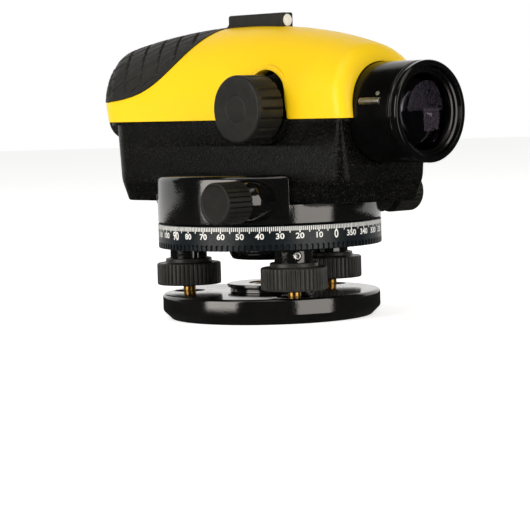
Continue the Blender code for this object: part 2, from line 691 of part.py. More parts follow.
def make_fine_drive():
    pocket = FINE_KNOB_LENGTH - 4 * MM
    end = FINE_KNOB_FACE - FINE_KNOB_LENGTH + pocket - GAP
    worm = WORM_HALF_LENGTH
    shaft = turned(
        "worm_shaft",
        [
            (0.0, end),
            (SHAFT_RADIUS, end),
            (SHAFT_RADIUS, worm + MM),
            (WORM_RADIUS, worm),
            (WORM_RADIUS, -worm),
            (SHAFT_RADIUS, -worm - MM),
            (SHAFT_RADIUS, -end),
            (0.0, -end),
        ],
        (WORM_X, 0.0, WORM_Z), "Y", steps=SMALL_STEPS)
    place(shaft, STEEL)
    bore = SHAFT_RADIUS + GAP
    back = FINE_KNOB_FACE - FINE_KNOB_LENGTH
    for name, side in (("near", -1), ("far", 1)):
        knob_outline = [
            (0.0, FINE_KNOB_FACE),
            (FINE_KNOB_RADIUS - 0.8 * MM, FINE_KNOB_FACE),
            (FINE_KNOB_RADIUS, FINE_KNOB_FACE - 0.8 * MM),
            (FINE_KNOB_RADIUS, back + 0.5 * MM),
            (FINE_KNOB_RADIUS - 0.5 * MM, back),
            (bore, back),
            (bore, back + pocket),
            (0.0, back + pocket),
        ]
        bush_outline = [
            (bore, back - GAP),
            (FINE_BUSH_NOSE, back - GAP),
            (FINE_BUSH_RADIUS, back - 4.5 * MM),
            (FINE_BUSH_RADIUS, FINE_BUSH_DEPTH),
            (bore, FINE_BUSH_DEPTH),
        ]
        for piece, outline, closed, look in (
            (f"fine_knob_{name}", knob_outline, False, RUBBER),
            (f"shaft_bush_{name}", bush_outline, True, MATT_BLACK),
        ):
            obj = turned(piece, outline, (WORM_X, 0.0, WORM_Z), "Y", steps=MEDIUM_STEPS, closed=closed)
            if side < 0:
                obj.rotation_euler = (math.radians(90), 0.0, 0.0)
            place(obj, look)


def make_circle_index():
    """Small pointer plate on the observer's side that the circle is read against."""
    low = HOUSING_BOTTOM + 0.4 * MM
    index = block("circle_index", (-HOUSING_RADIUS - 0.9 * MM, -0.6 * MM, low),
                  (-HOUSING_RADIUS - GAP, 0.6 * MM, low + 3 * MM))
    place(index, WHITE)


# ---------------------------------------------------------------- telescope body
def rounded_rectangle(rear, front, half_width, corner_rear, corner_near, corner_far, steps=5):
    """Plan outline, counter-clockwise from the front corner near the focusing side."""
    corners = (
        (front - corner_near, -half_width + corner_near, corner_near, -90),
        (front - corner_far, half_width - corner_far, corner_far, 0),
        (rear + corner_rear, half_width - corner_rear, corner_rear, 90),
        (rear + corner_rear, -half_width + corner_rear, corner_rear, 180),
    )
    outline = []
    for x, y, radius, start in corners:
        outline.extend(arc((x, y), radius, start, start + 90, steps))
    return outline


def body_ring(height, wall):
    """Plan outline of the body at a height, drawn in by the draft, the rolled lower edge and a wall."""
    depth = SEAM - height
    rolled = max(0.0, (BODY_EDGE_TOP - height) / (BODY_EDGE_TOP - BODY_FLOOR))
    inset = depth * BODY_DRAFT + rolled * BODY_EDGE_IN + wall
    corners = []
    for top, edge, floor in (BODY_NEAR_CORNERS, BODY_FAR_CORNERS):
        straight = min(1.0, depth / (SEAM - BODY_EDGE_TOP))
        radius = top + (edge - top) * straight + (floor - edge) * rolled
        corners.append(max(BODY_INNER_CORNER, radius - wall))
    outline = rounded_rectangle(BODY_REAR + inset, BODY_FRONT - inset, BODY_HALF_WIDTH - inset,
                                BODY_REAR_CORNER - wall, corners[0], corners[1])
    return [(x, y, height) for x, y in outline]


def make_main_body():
    """Open-topped tub, lofted through plan outlines, with a seat for the cover and a step for the drum."""
    outside = [body_ring(height, 0.0) for height in (BODY_FLOOR, BODY_EDGE_TOP, SEAM)]
    inside = [body_ring(height, BODY_WALL) for height in (SEAM, BODY_EDGE_TOP, BODY_FLOOR + BODY_WALL)]
    mesh = bpy.data.meshes.new("main_body")
    cage = bmesh.new()
    rings = [[cage.verts.new(point) for point in ring] for ring in outside + inside]
    for lower, upper in zip(rings, rings[1:]):
        for i in range(len(lower)):
            j = (i + 1) % len(lower)
            cage.faces.new((lower[i], lower[j], upper[j], upper[i]))
    cage.faces.new(list(reversed(rings[0])))
    cage.faces.new(rings[-1])
    cage.to_mesh(mesh)
    cage.free()
    body = bpy.data.objects.new("main_body", mesh)
    boolean(body, make_seat_flange(), "UNION")
    step = as_cutter(block("drum_step", (-DRUM_HALF_LENGTH - GAP * 2, -BODY_HALF_WIDTH * 2, BODY_FLOOR - MM),
                           (DRUM_HALF_LENGTH + GAP * 2, BODY_HALF_WIDTH * 2, DRUM_TOP + GAP)))
    boolean(body, step)
    boolean(body, BORES["objective"])
    boolean(body, BORES["eyepiece"])
    return place(body, MATT_BLACK)


def make_seat_flange():
    """Rim at the top of the body that closes the cover's overhang at both ends."""
    middle = (0.0, 0.0, SEAM - FLANGE_THICKNESS / 2)
    rear = COVER_REAR + COVER_REAR_TUCK * (COVER_BAND_TOP - SEAM) + FLANGE_INSET
    corner_front = COVER_FRONT_FILLET - FLANGE_INSET
    outline = rounded_rectangle(rear, COVER_FRONT - FLANGE_INSET, BODY_HALF_WIDTH,
                                COVER_REAR_CORNER - FLANGE_INSET, corner_front, corner_front)
    flange = plate("seat_flange", outline, FLANGE_THICKNESS, middle)
    well = rounded_rectangle(BODY_REAR + BODY_WALL, BODY_FRONT - BODY_WALL, BODY_HALF_WIDTH - BODY_WALL,
                             BODY_REAR_CORNER - BODY_WALL, BODY_INNER_CORNER, BODY_INNER_CORNER)
    boolean(flange, as_cutter(plate("seat_well", well, FLANGE_THICKNESS * 3, middle)))
    return as_cutter(flange)


def thicken(obj, inwards, outwards=0.0):
    solidify = obj.modifiers.new("Solidify", "SOLIDIFY")
    solidify.thickness = inwards + outwards
    solidify.offset = (outwards - inwards) / (inwards + outwards)
    solidify.use_even_offset = True


def crown(x):
    fall = COVER_FALL_FRONT if x > COVER_CROWN_X else COVER_FALL_REAR
    return COVER_CROWN - fall * (x - COVER_CROWN_X) ** 2


def cover_stations(grow):
    """Places along the cover: (x, side inset, crown inset, share of the end's lean)."""
    stations = []
    for i in range(7):
        turn = math.radians(90 * (1 - i / 6))
        x = COVER_REAR + COVER_REAR_CORNER * (1 - math.sin(turn))
        fillet = min(1.0, (x - COVER_REAR) / COVER_REAR_FILLET)
        top = COVER_REAR_FILLET * (1 - math.sqrt(1 - (1 - fillet) ** 2))
        side = COVER_REAR_CORNER * (1 - math.cos(turn))
        stations.append((x, side, top, math.sin(turn)))
    start = COVER_REAR + COVER_REAR_CORNER
    end = COVER_FRONT - COVER_FRONT_FILLET
    count = 9
    for i in range(1, count):
        x = start + (end - start) * i / count
        stations.append((x, 0.0, 0.0, 0.0))
    for i in range(6):
        turn = math.radians(90 * i / 5)
        inset = COVER_FRONT_FILLET * (1 - math.cos(turn))
        stations.append((end + COVER_FRONT_FILLET * math.sin(turn), inset, inset, 1.0))
    return [(x + grow * math.copysign(1, x) * (abs(lean) > 0.5), side - grow, top - grow, lean)
            for x, side, top, lean in stations]


def cover_point(station, share):
    """Point of the arched section, share running from 0 on the -Y side to 1 on the +Y side."""
    x, side, top, lean = station
    half = COVER_HALF_WIDTH - side
    rise = crown(x) - top - COVER_BAND_TOP
    if share <= 0.0 or share >= 1.0:
        y = math.copysign(half, share - 0.5)
        z = SEAM
    else:
        angle = math.pi * (1 - share)
        y = half * math.cos(angle)
        z = COVER_BAND_TOP + rise * math.sin(angle)
    if x > 0:
        blend = max(0.0, min(1.0, (x - 40 * MM) / (35 * MM)))
        x -= COVER_FRONT_LEAN * blend ** 2 * max(0.0, z - SIGHT_AXIS)
    else:
        x += COVER_REAR_TUCK * lean * max(0.0, COVER_BAND_TOP - z)
    return x, y, z


def arch_surface(name, grow, closed=False):
    """The cover's outer skin, moved outwards by grow, open below unless closed."""
    mesh = bpy.data.meshes.new(name)
    cage = bmesh.new()
    shares = [0.0, ARCH_BAND_SHARE]
    shares += [i / ARCH_STEPS for i in range(1, ARCH_STEPS)]
    shares += [1.0 - ARCH_BAND_SHARE, 1.0]
    rings = []
    for station in cover_stations(grow):
        rings.append([cage.verts.new(cover_point(station, share)) for share in shares])
    for rear, front in zip(rings, rings[1:]):
        for i in range(len(rear) - 1):
            cage.faces.new((rear[i], front[i], front[i + 1], rear[i + 1]))
        if closed:
            cage.faces.new((rear[-1], front[-1], front[0], rear[0]))
    last = len(shares) - 1
    for ring, flip in ((rings[0], False), (rings[-1], True)):
        for i in range(last // 2):
            low_left, high_left = ring[i], ring[i + 1]
            low_right, high_right = ring[last - i], ring[last - i - 1]
            corners = [low_left, high_left, high_right, low_right]
            if high_left == high_right:
                corners = [low_left, high_left, low_right]
            if flip:
                corners.reverse()
            cage.faces.new(corners)
    bmesh.ops.recalc_face_normals(cage, faces=cage.faces)
    cage.to_mesh(mesh)
    cage.free()
    return bpy.data.objects.new(name, mesh)


def grip_outline(clearance):
    """Side outline of the grip: a level edge that sweeps up to the crown, in X and Z."""
    start = Vector((COVER_REAR - 12 * MM, GRIP_EDGE_HEIGHT))
    bend = Vector((-50 * MM, GRIP_EDGE_HEIGHT - 0.6 * MM))
    rise = Vector((-42.5 * MM, GRIP_EDGE_HEIGHT + 6.8 * MM))
    end = Vector((SIGHT_REAR + 1.5 * MM, COVER_CROWN + 1.5 * MM))
    points = []
    for i in range(17):
        t = i / 16
        u = 1 - t
        point = start * u ** 3 + bend * 3 * u * u * t + rise * 3 * u * t * t + end * t ** 3
        slope = (bend - start) * u * u + (rise - bend) * 2 * u * t + (end - rise) * t * t
        slope.normalize()
        points.append((point.x + slope.y * clearance, point.y - slope.x * clearance))
    top = COVER_CROWN + 12 * MM
    return points + [(end.x + clearance, top), (start.x, top)]


def grip_region(name, clearance):
    outline = [(x, z) for x, z in grip_outline(clearance)]
    region = plate(name, outline, COVER_HALF_WIDTH * 3, (0.0, 0.0, 0.0))
    region.rotation_euler = (math.radians(90), 0.0, 0.0)
    return as_cutter(region)


def make_top_cover():
    cover = arch_surface("top_cover", 0.0)
    thicken(cover, COVER_WALL)
    pocket = as_cutter(arch_surface("grip_pocket", GRIP_PROUD))
    thicken(pocket, GRIP_THICKNESS + GAP, 2 * MM)
    boolean(pocket, grip_region("grip_region_loose", GAP), "INTERSECT")
    boolean(cover, pocket)
    for name in ("objective", "eyepiece", "knob_notch"):
        boolean(cover, BORES[name])
    reach = COVER_HALF_WIDTH * 2
    boolean(cover, as_cutter(block("seam_trim", (COVER_REAR - 5 * MM, -reach, SEAM - 5 * MM),
                                   (COVER_FRONT + 5 * MM, reach, SEAM + GAP))))
    return place(cover, YELLOW)


def make_rear_grip():
    grip = arch_surface("rear_grip", GRIP_PROUD)
    thicken(grip, GRIP_THICKNESS)
    boolean(grip, grip_region("grip_region", 0.0), "INTERSECT")
    boolean(grip, BORES["eyepiece"])
    return place(grip, RUBBER)


def make_bores():
    """Openings that go through several shells."""
    bores = {
        "objective": rod_cutter("objective_bore", OBJECTIVE_RADIUS + GAP, 0.0, 30 * MM,
                                (BODY_FRONT - 12 * MM, 0.0, SIGHT_AXIS), "X", steps=FINE_STEPS),
        "eyepiece": rod_cutter("eyepiece_bore", EYEPIECE_RADIUS + 0.8 * MM, -25 * MM, 0.0,
                               (BODY_REAR + 12 * MM, 0.0, SIGHT_AXIS), "X"),
    }
    arch = arc((FOCUS_X, NOTCH_CENTRE_Z), NOTCH_RADIUS, 0, 180, 16)
    low = SEAM - 2 * MM
    outline = arch + [(FOCUS_X - NOTCH_FLARE, low), (FOCUS_X + NOTCH_FLARE, low)]
    notch = plate("knob_notch", outline, 20 * MM, (0.0, -COVER_HALF_WIDTH, 0.0))
    notch.rotation_euler = (math.radians(90), 0.0, 0.0)
    bores["knob_notch"] = as_cutter(notch)
    return bores


def make_sight():
    body = block("sight_body", (SIGHT_REAR, -SIGHT_HALF_WIDTH, crown(SIGHT_FRONT) - 3 * MM),
                 (SIGHT_FRONT, SIGHT_HALF_WIDTH, SIGHT_TOP), 0.8 * MM)
    boolean(body, as_cutter(arch_surface("sight_seat", GAP, closed=True)))
    boolean(body, grip_region("sight_grip_room", GAP))
    bore = rod_cutter("sight_bore", SIGHT_BORE, SIGHT_FRONT - 5 * MM, SIGHT_FRONT + MM,
                      (0.0, 0.0, SIGHT_HEIGHT), "X", steps=SMALL_STEPS)
    boolean(body, bore)
    place(body, RUBBER)
    window = turned("sight_window",
                    disc_outline(SIGHT_BORE - GAP, SIGHT_FRONT - 5 * MM + GAP, SIGHT_FRONT),
                    (0.0, 0.0, SIGHT_HEIGHT), "X", steps=SMALL_STEPS)
    place(window, WHITE)


# ---------------------------------------------------------------- optics
def on_axis(x):
    return (x, 0.0, SIGHT_AXIS)


def lens_outline(radius, centre, half_edge, bulge):
    """Biconvex lens section."""
    outline = []
    for i in range(4):
        r = radius * i / 3
        outline.append((r, centre + half_edge + bulge * (1 - (r / radius) ** 2)))
    for i in range(3, -1, -1):
        r = radius * i / 3
        outline.append((r, centre - half_edge - bulge * (1 - (r / radius) ** 2)))
    return outline


def make_objective():
    seat = LENS_X - 4.5 * MM
    rim = OBJECTIVE_FRONT - RIM_LENGTH
    tube = turned(
        "objective_tube",
        [
            (OBJECTIVE_BORE, rim - GAP),
            (OBJECTIVE_RADIUS, rim - GAP),
            (OBJECTIVE_RADIUS, OBJECTIVE_REAR),
            (OBJECTIVE_BORE - 2 * MM, OBJECTIVE_REAR),
            (OBJECTIVE_BORE - 2 * MM, seat),
            (OBJECTIVE_BORE, seat),
        ],
        on_axis(0.0), "X", steps=FINE_STEPS, closed=True)
    place(tube, GLOSS_BLACK)
    front = OBJECTIVE_FRONT
    ring = turned(
        "objective_rim",
        [
            (RIM_OPENING + 3.2 * MM, front),
            (OBJECTIVE_RADIUS - 0.6 * MM, front),
            (OBJECTIVE_RADIUS, front - 0.6 * MM),
            (OBJECTIVE_RADIUS, rim),
            (RIM_OPENING, rim),
        ],
        on_axis(0.0), "X", steps=FINE_STEPS, closed=True)
    place(ring, GLOSS_BLACK)
    lens = turned("objective_lens", lens_outline(LENS_RADIUS, LENS_X, 1.2 * MM, 2.4 * MM),
                  on_axis(0.0), "X", steps=MEDIUM_STEPS)
    place(lens, GLASS)


def make_focus_drive():
    block_y = -COVER_HALF_WIDTH + 6.5 * MM
    bore = FOCUS_SHAFT_RADIUS + GAP
    radius = 13.0 * MM
    outline = arc((FOCUS_X, NOTCH_CENTRE_Z - 3 * MM), radius, 0, 180, 16)
    low = SEAM + GAP
    outline = outline + [(FOCUS_X - radius, low), (FOCUS_X + radius, low)]
    bearing = plate("focus_bearing", outline, 3.0 * MM, (0.0, block_y, 0.0))
    bearing.rotation_euler = (math.radians(90), 0.0, 0.0)
    hole = rod_cutter("focus_bearing_bore", bore, -60 * MM, 0.0, (FOCUS_X, 0.0, FOCUS_Z), "Y",
                      steps=SMALL_STEPS)
    boolean(bearing, hole)
    place(bearing, MATT_BLACK)
    end = FOCUS_KNOB_FACE + 4 * MM
    shaft = turned(
        "focus_shaft",
        [
            (0.0, PINION_INNER_END),
            (PINION_RADIUS, PINION_INNER_END),
            (PINION_RADIUS, block_y + 2.5 * MM),
            (FOCUS_SHAFT_RADIUS, block_y + 2.2 * MM),
            (FOCUS_SHAFT_RADIUS, end),
            (0.0, end),
        ],
        (FOCUS_X, 0.0, FOCUS_Z), "Y", steps=SMALL_STEPS)
    place(shaft, STEEL)
    knob = turned(
        "focus_knob",
        [
            (0.0, end - GAP),
            (bore, end - GAP),
            (bore, FOCUS_KNOB_BACK),
            (FOCUS_KNOB_RADIUS - 1.0 * MM, FOCUS_KNOB_BACK),
            (FOCUS_KNOB_RADIUS, FOCUS_KNOB_BACK - 1.0 * MM),
            (FOCUS_KNOB_RADIUS - 0.3 * MM, FOCUS_KNOB_FACE + 1.2 * MM),
            (FOCUS_KNOB_RADIUS - 1.5 * MM, FOCUS_KNOB_FACE),
            (0.0, FOCUS_KNOB_FACE),
        ],
        (FOCUS_X, 0.0, FOCUS_Z), "Y", steps=MEDIUM_STEPS)
    place(knob, RUBBER)


def make_focus_carriage():
    wall = 1.6 * MM
    half = CARRIAGE_LENGTH / 2
    bore = CARRIAGE_RADIUS - wall
    lens_x = CARRIAGE_X - half + 4 * MM
    carriage = turned("focus_carriage",
                      ring_outline(bore, CARRIAGE_RADIUS, -half, half, 0.4 * MM),
                      on_axis(CARRIAGE_X), "X", steps=MEDIUM_STEPS, closed=True)
    rack_top = FOCUS_Z - PINION_RADIUS - GAP
    rack_y = PINION_INNER_END - 1.0 * MM
    rack = as_cutter(block("focus_rack",
                           (CARRIAGE_X - RACK_LENGTH / 2, rack_y - RACK_WIDTH, rack_top - 2 * MM),
                           (CARRIAGE_X + RACK_LENGTH / 2, rack_y, rack_top)))
    web = as_cutter(block("focus_rack_web", (CARRIAGE_X - half + MM, rack_y - MM, rack_top - 2 * MM),
                          (CARRIAGE_X + half - MM, -bore - wall / 2, rack_top - 0.5 * MM)))
    boolean(carriage, web, "UNION")
    boolean(carriage, rack, "UNION")
    place(carriage, ALUMINIUM)
    lens = turned("focus_lens", lens_outline(bore - GAP, 0.0, 0.8 * MM, 0.9 * MM), on_axis(lens_x),
                  "X", steps=SMALL_STEPS)
    place(lens, GLASS)


def make_eyepiece():
    cell_radius = EYE_CELL_RADIUS
    ring_rear = EYEPIECE_END + EYEPIECE_LENGTH
    inner = EYEPIECE_TUBE_RADIUS + GAP
    ring = turned(
        "eyepiece_ring",
        [
            (inner, ring_rear),
            (EYEPIECE_RADIUS, ring_rear),
            (EYEPIECE_RADIUS, EYEPIECE_END + 0.8 * MM),
            (EYEPIECE_RADIUS - 0.8 * MM, EYEPIECE_END),
            (EYE_LENS_RADIUS, EYEPIECE_END),
            (EYE_LENS_RADIUS, EYEPIECE_END + MM),
            (inner, EYEPIECE_END + 2.5 * MM),
        ],
        on_axis(0.0), "X", closed=True)
    place(ring, RUBBER)
    tube_end = EYEPIECE_END + 6 * MM
    tube_bore = cell_radius + GAP
    tube = turned("eyepiece_tube",
                  ring_outline(tube_bore, EYEPIECE_TUBE_RADIUS, tube_end, RETICLE_X - 4 * MM),
                  on_axis(0.0), "X", closed=True, steps=MEDIUM_STEPS)
    place(tube, GLOSS_BLACK)
    cell = turned("eye_cell", ring_outline(EYE_LENS_RADIUS + GAP, cell_radius, tube_end + 0.5 * MM,
                                           tube_end + 16 * MM),
                  on_axis(0.0), "X", closed=True, steps=MEDIUM_STEPS)
    place(cell, ALUMINIUM)
    lens = turned("eye_lens", lens_outline(EYE_LENS_RADIUS, 0.0, 0.8 * MM, 1.0 * MM),
                  on_axis(tube_end + 4 * MM), "X", steps=SMALL_STEPS)
    place(lens, GLASS)


def make_reticle():
    cell = turned("reticle_cell", ring_outline(7.2 * MM, RETICLE_RADIUS, -2.5 * MM, 2.5 * MM, 0.3 * MM),
                  on_axis(RETICLE_X), "X", closed=True, steps=MEDIUM_STEPS)
    place(cell, BRASS)
    glass = turned("reticle_glass", disc_outline(7.2 * MM - GAP, -0.8 * MM, 0.8 * MM),
                   on_axis(RETICLE_X), "X", steps=SMALL_STEPS)
    place(glass, GLASS)


# ---------------------------------------------------------------- compensator
def make_compensator():
    x = COMPENSATOR_X
    half = 11.0 * MM
    side = 15.0 * MM
    low = DRUM_TOP + BODY_WALL + 4 * MM
    top = PIVOT_Z + 5 * MM
    frame = block("compensator_frame", (x - half, -side, low), (x + half, side, top), 1.0 * MM)
    window = as_cutter(block("compensator_window", (x - half - MM, -side + 4 * MM, low + 4 * MM),
                             (x + half + MM, side - 4 * MM, PIVOT_Z + 2 * MM)))
    boolean(frame, window)
    place(frame, ALUMINIUM)
    arm_low = PIVOT_Z - PENDULUM_LENGTH
    hanger = block("pendulum_flexure", (x - 0.3 * MM, -7 * MM, PIVOT_Z - 9 * MM),
                   (x + 0.3 * MM, 7 * MM, PIVOT_Z + 1.5 * MM), origin=(x, 0.0, PIVOT_Z))
    place(hanger, STEEL)
    carrier = block("pendulum", (x - 7 * MM, -9 * MM, arm_low), (x + 7 * MM, 9 * MM, PIVOT_Z - 9.3 * MM),
                    1.0 * MM, origin=(x, 0.0, PIVOT_Z))
    pocket = as_cutter(block("prism_pocket", (x - 8 * MM, -6.5 * MM, SIGHT_AXIS - 6.5 * MM),
                             (x + 8 * MM, 6.5 * MM, SIGHT_AXIS + 6.5 * MM)))
    boolean(carrier, pocket)
    place(carrier, BRASS)
    prism = block("pendulum_prism", (x - 6 * MM, -6.2 * MM, SIGHT_AXIS - 6.2 * MM),
                  (x + 6 * MM, 6.2 * MM, SIGHT_AXIS + 6.2 * MM), 0.5 * MM, origin=(x, 0.0, PIVOT_Z))
    place(prism, GLASS)
    magnet = turned("damper_magnet", disc_outline(5.0 * MM, low + 4 * MM + GAP, arm_low - 1.5 * MM, 0.5 * MM),
                    (x, 0.0, 0.0), steps=SMALL_STEPS)
    place(magnet, STEEL)


# ---------------------------------------------------------------- circular bubble
def make_bubble():
    inner = BUBBLE_RADIUS - 2.2 * MM
    low = BUBBLE_Z
    high = BUBBLE_Z + 8.5 * MM
    housing = turned(
        "bubble_housing",
        [
            (inner, high),
            (BUBBLE_RADIUS - 0.5 * MM, high),
            (BUBBLE_RADIUS, high - 0.5 * MM),
            (BUBBLE_RADIUS, low),
            (0.0, low),
            (0.0, low + 2 * MM),
            (inner, low + 2 * MM),
        ],
        (BUBBLE_X, BUBBLE_Y, 0.0), steps=MEDIUM_STEPS, closed=True)
    bracket = as_cutter(block("bubble_bracket", (BUBBLE_X - 5 * MM, BODY_HALF_WIDTH + 2 * GAP, low - 3 * MM),
                              (BUBBLE_X + 5 * MM, BUBBLE_Y, low + 1.0 * MM)))
    boolean(housing, bracket, "UNION")
    place(housing, MATT_BLACK)
    vial = turned("bubble_vial", disc_outline(inner - GAP, low + 2 * MM + GAP, high - 0.8 * MM, 0.4 * MM),
                  (BUBBLE_X, BUBBLE_Y, 0.0), steps=SMALL_STEPS)
    place(vial, GLASS)


def make_level():
    make_base_plate()
    make_thread_bush()
    make_spring_plate()
    make_plate_screws()
    for number, angle in enumerate(FOOT_ANGLES, 1):
        make_foot_screw(number, angle)
        make_set_screw(number, angle)
    make_tribrach()
    make_spindle_bearing()
    make_horizontal_circle()
    make_alidade_housing()
    make_access_screw()
    make_vertical_spindle()
    make_worm_wheel()
    make_fine_drive()
    make_circle_index()
    make_main_body()
    make_top_cover()
    make_rear_grip()
    make_sight()
    make_objective()
    make_focus_drive()
    make_focus_carriage()
    make_eyepiece()
    make_reticle()
    make_compensator()
    make_bubble()


BORES = make_bores()
make_level()
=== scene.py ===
import math

import bmesh
import bpy
import numpy as np
from mathutils import Matrix, Vector


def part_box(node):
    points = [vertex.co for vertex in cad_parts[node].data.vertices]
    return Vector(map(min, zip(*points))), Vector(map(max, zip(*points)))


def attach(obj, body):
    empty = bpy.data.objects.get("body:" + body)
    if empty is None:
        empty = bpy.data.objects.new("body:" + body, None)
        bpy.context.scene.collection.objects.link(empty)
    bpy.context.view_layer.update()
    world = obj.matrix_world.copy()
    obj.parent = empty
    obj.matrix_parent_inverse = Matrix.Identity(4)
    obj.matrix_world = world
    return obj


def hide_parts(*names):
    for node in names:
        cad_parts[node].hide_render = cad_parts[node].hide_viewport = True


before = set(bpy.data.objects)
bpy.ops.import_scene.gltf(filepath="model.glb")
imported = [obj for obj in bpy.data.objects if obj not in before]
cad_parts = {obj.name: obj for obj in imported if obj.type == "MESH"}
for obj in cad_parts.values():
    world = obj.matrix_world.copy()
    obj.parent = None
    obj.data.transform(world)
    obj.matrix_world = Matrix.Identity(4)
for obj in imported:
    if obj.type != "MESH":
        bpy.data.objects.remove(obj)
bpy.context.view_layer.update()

mm = 0.001
print("frame loaded:", len(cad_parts), "parts")


def boxOf(node):
    low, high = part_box(node)
    return Vector(low), Vector(high)


def centreOf(node):
    low, high = boxOf(node)
    return (low + high) / 2


# colours and shader nodes

def srgb(text):
    channels = [int(text[i:i + 2], 16) / 255 for i in (1, 3, 5)]
    linear = [c / 12.92 if c <= 0.04045 else ((c + 0.055) / 1.055) ** 2.4 for c in channels]
    return (*linear, 1.0)


def addNode(material, kind, inputs=None, **settings):
    item = material.node_tree.nodes.new("ShaderNode" + kind)
    for name, value in settings.items():
        setattr(item, name, value)
    for name, value in (inputs or {}).items():
        if isinstance(value, bpy.types.NodeSocket):
            material.node_tree.links.new(value, item.inputs[name])
        else:
            item.inputs[name].default_value = value
    return item


def setShader(material, inputs):
    shader = material.node_tree.nodes["Principled BSDF"]
    for name, value in inputs.items():
        if isinstance(value, bpy.types.NodeSocket):
            material.node_tree.links.new(value, shader.inputs[name])
        else:
            shader.inputs[name].default_value = value


def noiseField(material, size, detail=2.0, stretch=(1.0, 1.0, 1.0)):
    place = addNode(material, "TexCoord").outputs["Object"]
    scaled = addNode(material, "Mapping", {"Vector": place, "Scale": stretch})
    field = addNode(material, "TexNoise", {"Vector": scaled.outputs[0], "Scale": 1 / size, "Detail": detail})
    return field.outputs["Fac"]


def spread(material, field, low, high, start=0.3, end=0.7):
    remap = addNode(material, "MapRange", {"Value": field, "From Min": start, "From Max": end,
                                           "To Min": low, "To Max": high})
    return remap.outputs["Result"]


def bumpOf(material, field, depth, under=None):
    inputs = {"Height": field, "Distance": depth, "Strength": 1.0}
    if under is not None:
        inputs["Normal"] = under
    return addNode(material, "Bump", inputs).outputs["Normal"]


def mixColours(material, field, first, second, start=0.35, end=0.65):
    ramp = addNode(material, "ValToRGB", {"Fac": field})
    ramp.color_ramp.elements[0].position = start
    ramp.color_ramp.elements[0].color = srgb(first)
    ramp.color_ramp.elements[1].position = end
    ramp.color_ramp.elements[1].color = srgb(second)
    return ramp.outputs["Color"]


def newMaterial(name):
    material = bpy.data.materials.new(name)
    material.use_nodes = True
    return material


# baked enamel on the cast base parts: glossy with an orange peel that breaks up reflections
def makeEnamel(name, colours, peel, depth, roughness, gloss=0.5):
    material = newMaterial(name)
    coarse = noiseField(material, peel, 1.0)
    fine = noiseField(material, peel / 4, 2.0)
    normal = bumpOf(material, fine, depth / 3, bumpOf(material, coarse, depth))
    setShader(material, {
        "Base Color": mixColours(material, noiseField(material, 14 * mm), *colours),
        "Roughness": spread(material, noiseField(material, 6 * mm, 3.0), roughness[0], roughness[1]),
        "Specular IOR Level": gloss,
        "Normal": normal,
    })
    return material


# wrinkle-finish paint on the cast body: matt black, with a grain bump, and sparse light speckles painted into
# the base colour as painted glints, standing in for grains that catch the light one by one; the grains are
# about twice the real size, so that they show
def makeTexturedPaint():
    material = newMaterial("blackTexturedPaintPaintedGlints")
    grains = noiseField(material, 0.75 * mm, 2.0)
    wide = noiseField(material, 2.6 * mm, 2.0)
    normal = bumpOf(material, grains, 0.14 * mm, bumpOf(material, wide, 0.05 * mm))
    setShader(material, {
        # painted highlight: the light end of this ramp puts glints into the base colour
        "Base Color": mixColours(material, noiseField(material, 0.6 * mm, 2.0),
                                 "#050505", "#30302D", 0.56, 0.74),
        "Roughness": spread(material, grains, 0.5, 0.22),
        "Specular IOR Level": 0.12,
        "Normal": normal,
    })
    return material


# moulded rubber and soft plastic: broad sheen, fine grain, dust-grey variation
def makeRubber(name, colours, grain, depth, roughness):
    material = newMaterial(name)
    normal = bumpOf(material, noiseField(material, grain, 3.0), depth)
    setShader(material, {
        "Base Color": mixColours(material, noiseField(material, 5 * mm, 4.0), *colours),
        "Roughness": spread(material, noiseField(material, 2 * mm, 3.0), roughness[0], roughness[1]),
        "Specular IOR Level": 0.3,
        "Normal": normal,
    })
    return material


# turned metal: fine tool rings round the axis that the stretch leaves open
def makeMetal(name, colours, roughness, stretch, depth=0.006 * mm):
    material = newMaterial(name)
    rings = noiseField(material, 0.35 * mm, 2.0, stretch)
    setShader(material, {
        "Base Color": mixColours(material, noiseField(material, 4 * mm, 3.0), *colours),
        "Metallic": 1.0,
        "Roughness": spread(material, rings, roughness[0], roughness[1]),
        "Normal": bumpOf(material, rings, depth),
    })
    return material


# satin injection-moulded cover: slight depth of colour and a very fine spark-eroded grain
def makeCoverPlastic():
    material = newMaterial("yellowCoverPlastic")
    normal = bumpOf(material, noiseField(material, 0.3 * mm, 2.0), 0.006 * mm)
    setShader(material, {
        "Base Color": mixColours(material, noiseField(material, 30 * mm, 2.0), "#EAC10E", "#EDC615"),
        "Roughness": spread(material, noiseField(material, 8 * mm, 3.0), 0.34, 0.42),
        "Specular IOR Level": 0.26,
        "Subsurface Weight": 0.06,
        "Subsurface Radius": (1.0, 0.7, 0.1),
        "Subsurface Scale": 1.2 * mm,
        "Normal": normal,
    })
    return material


# coated optical glass: clear, with a purple anti-reflection bloom on both faces
def makeCoatedGlass(name, bloom):
    material = newMaterial(name)
    setShader(material, {
        "Base Color": srgb("#8A8490"),
        "Transmission Weight": 1.0,
        "Roughness": spread(material, noiseField(material, 9 * mm), 0.0, 0.015),
        "IOR": 1.6,
        "Specular Tint": srgb(bloom),
    })
    return material


# clear liquid in the bubble vial and clear glass discs
def makeClearGlass(name, tint, roughness=0.02):
    material = newMaterial(name)
    setShader(material, {
        "Base Color": srgb(tint),
        "Transmission Weight": 0.85,
        "Roughness": spread(material, noiseField(material, 7 * mm), roughness, roughness * 2),
        "IOR": 1.45,
    })
    return material


# enamel ink of the circle's figures and divisions
def makeInk(name, colours):
    material = newMaterial(name)
    setShader(material, {
        "Base Color": mixColours(material, noiseField(material, 1.2 * mm, 4.0), *colours),
        "Roughness": spread(material, noiseField(material, 0.6 * mm), 0.4, 0.55),
        "Normal": bumpOf(material, noiseField(material, 0.2 * mm), 0.004 * mm),
    })
    return material


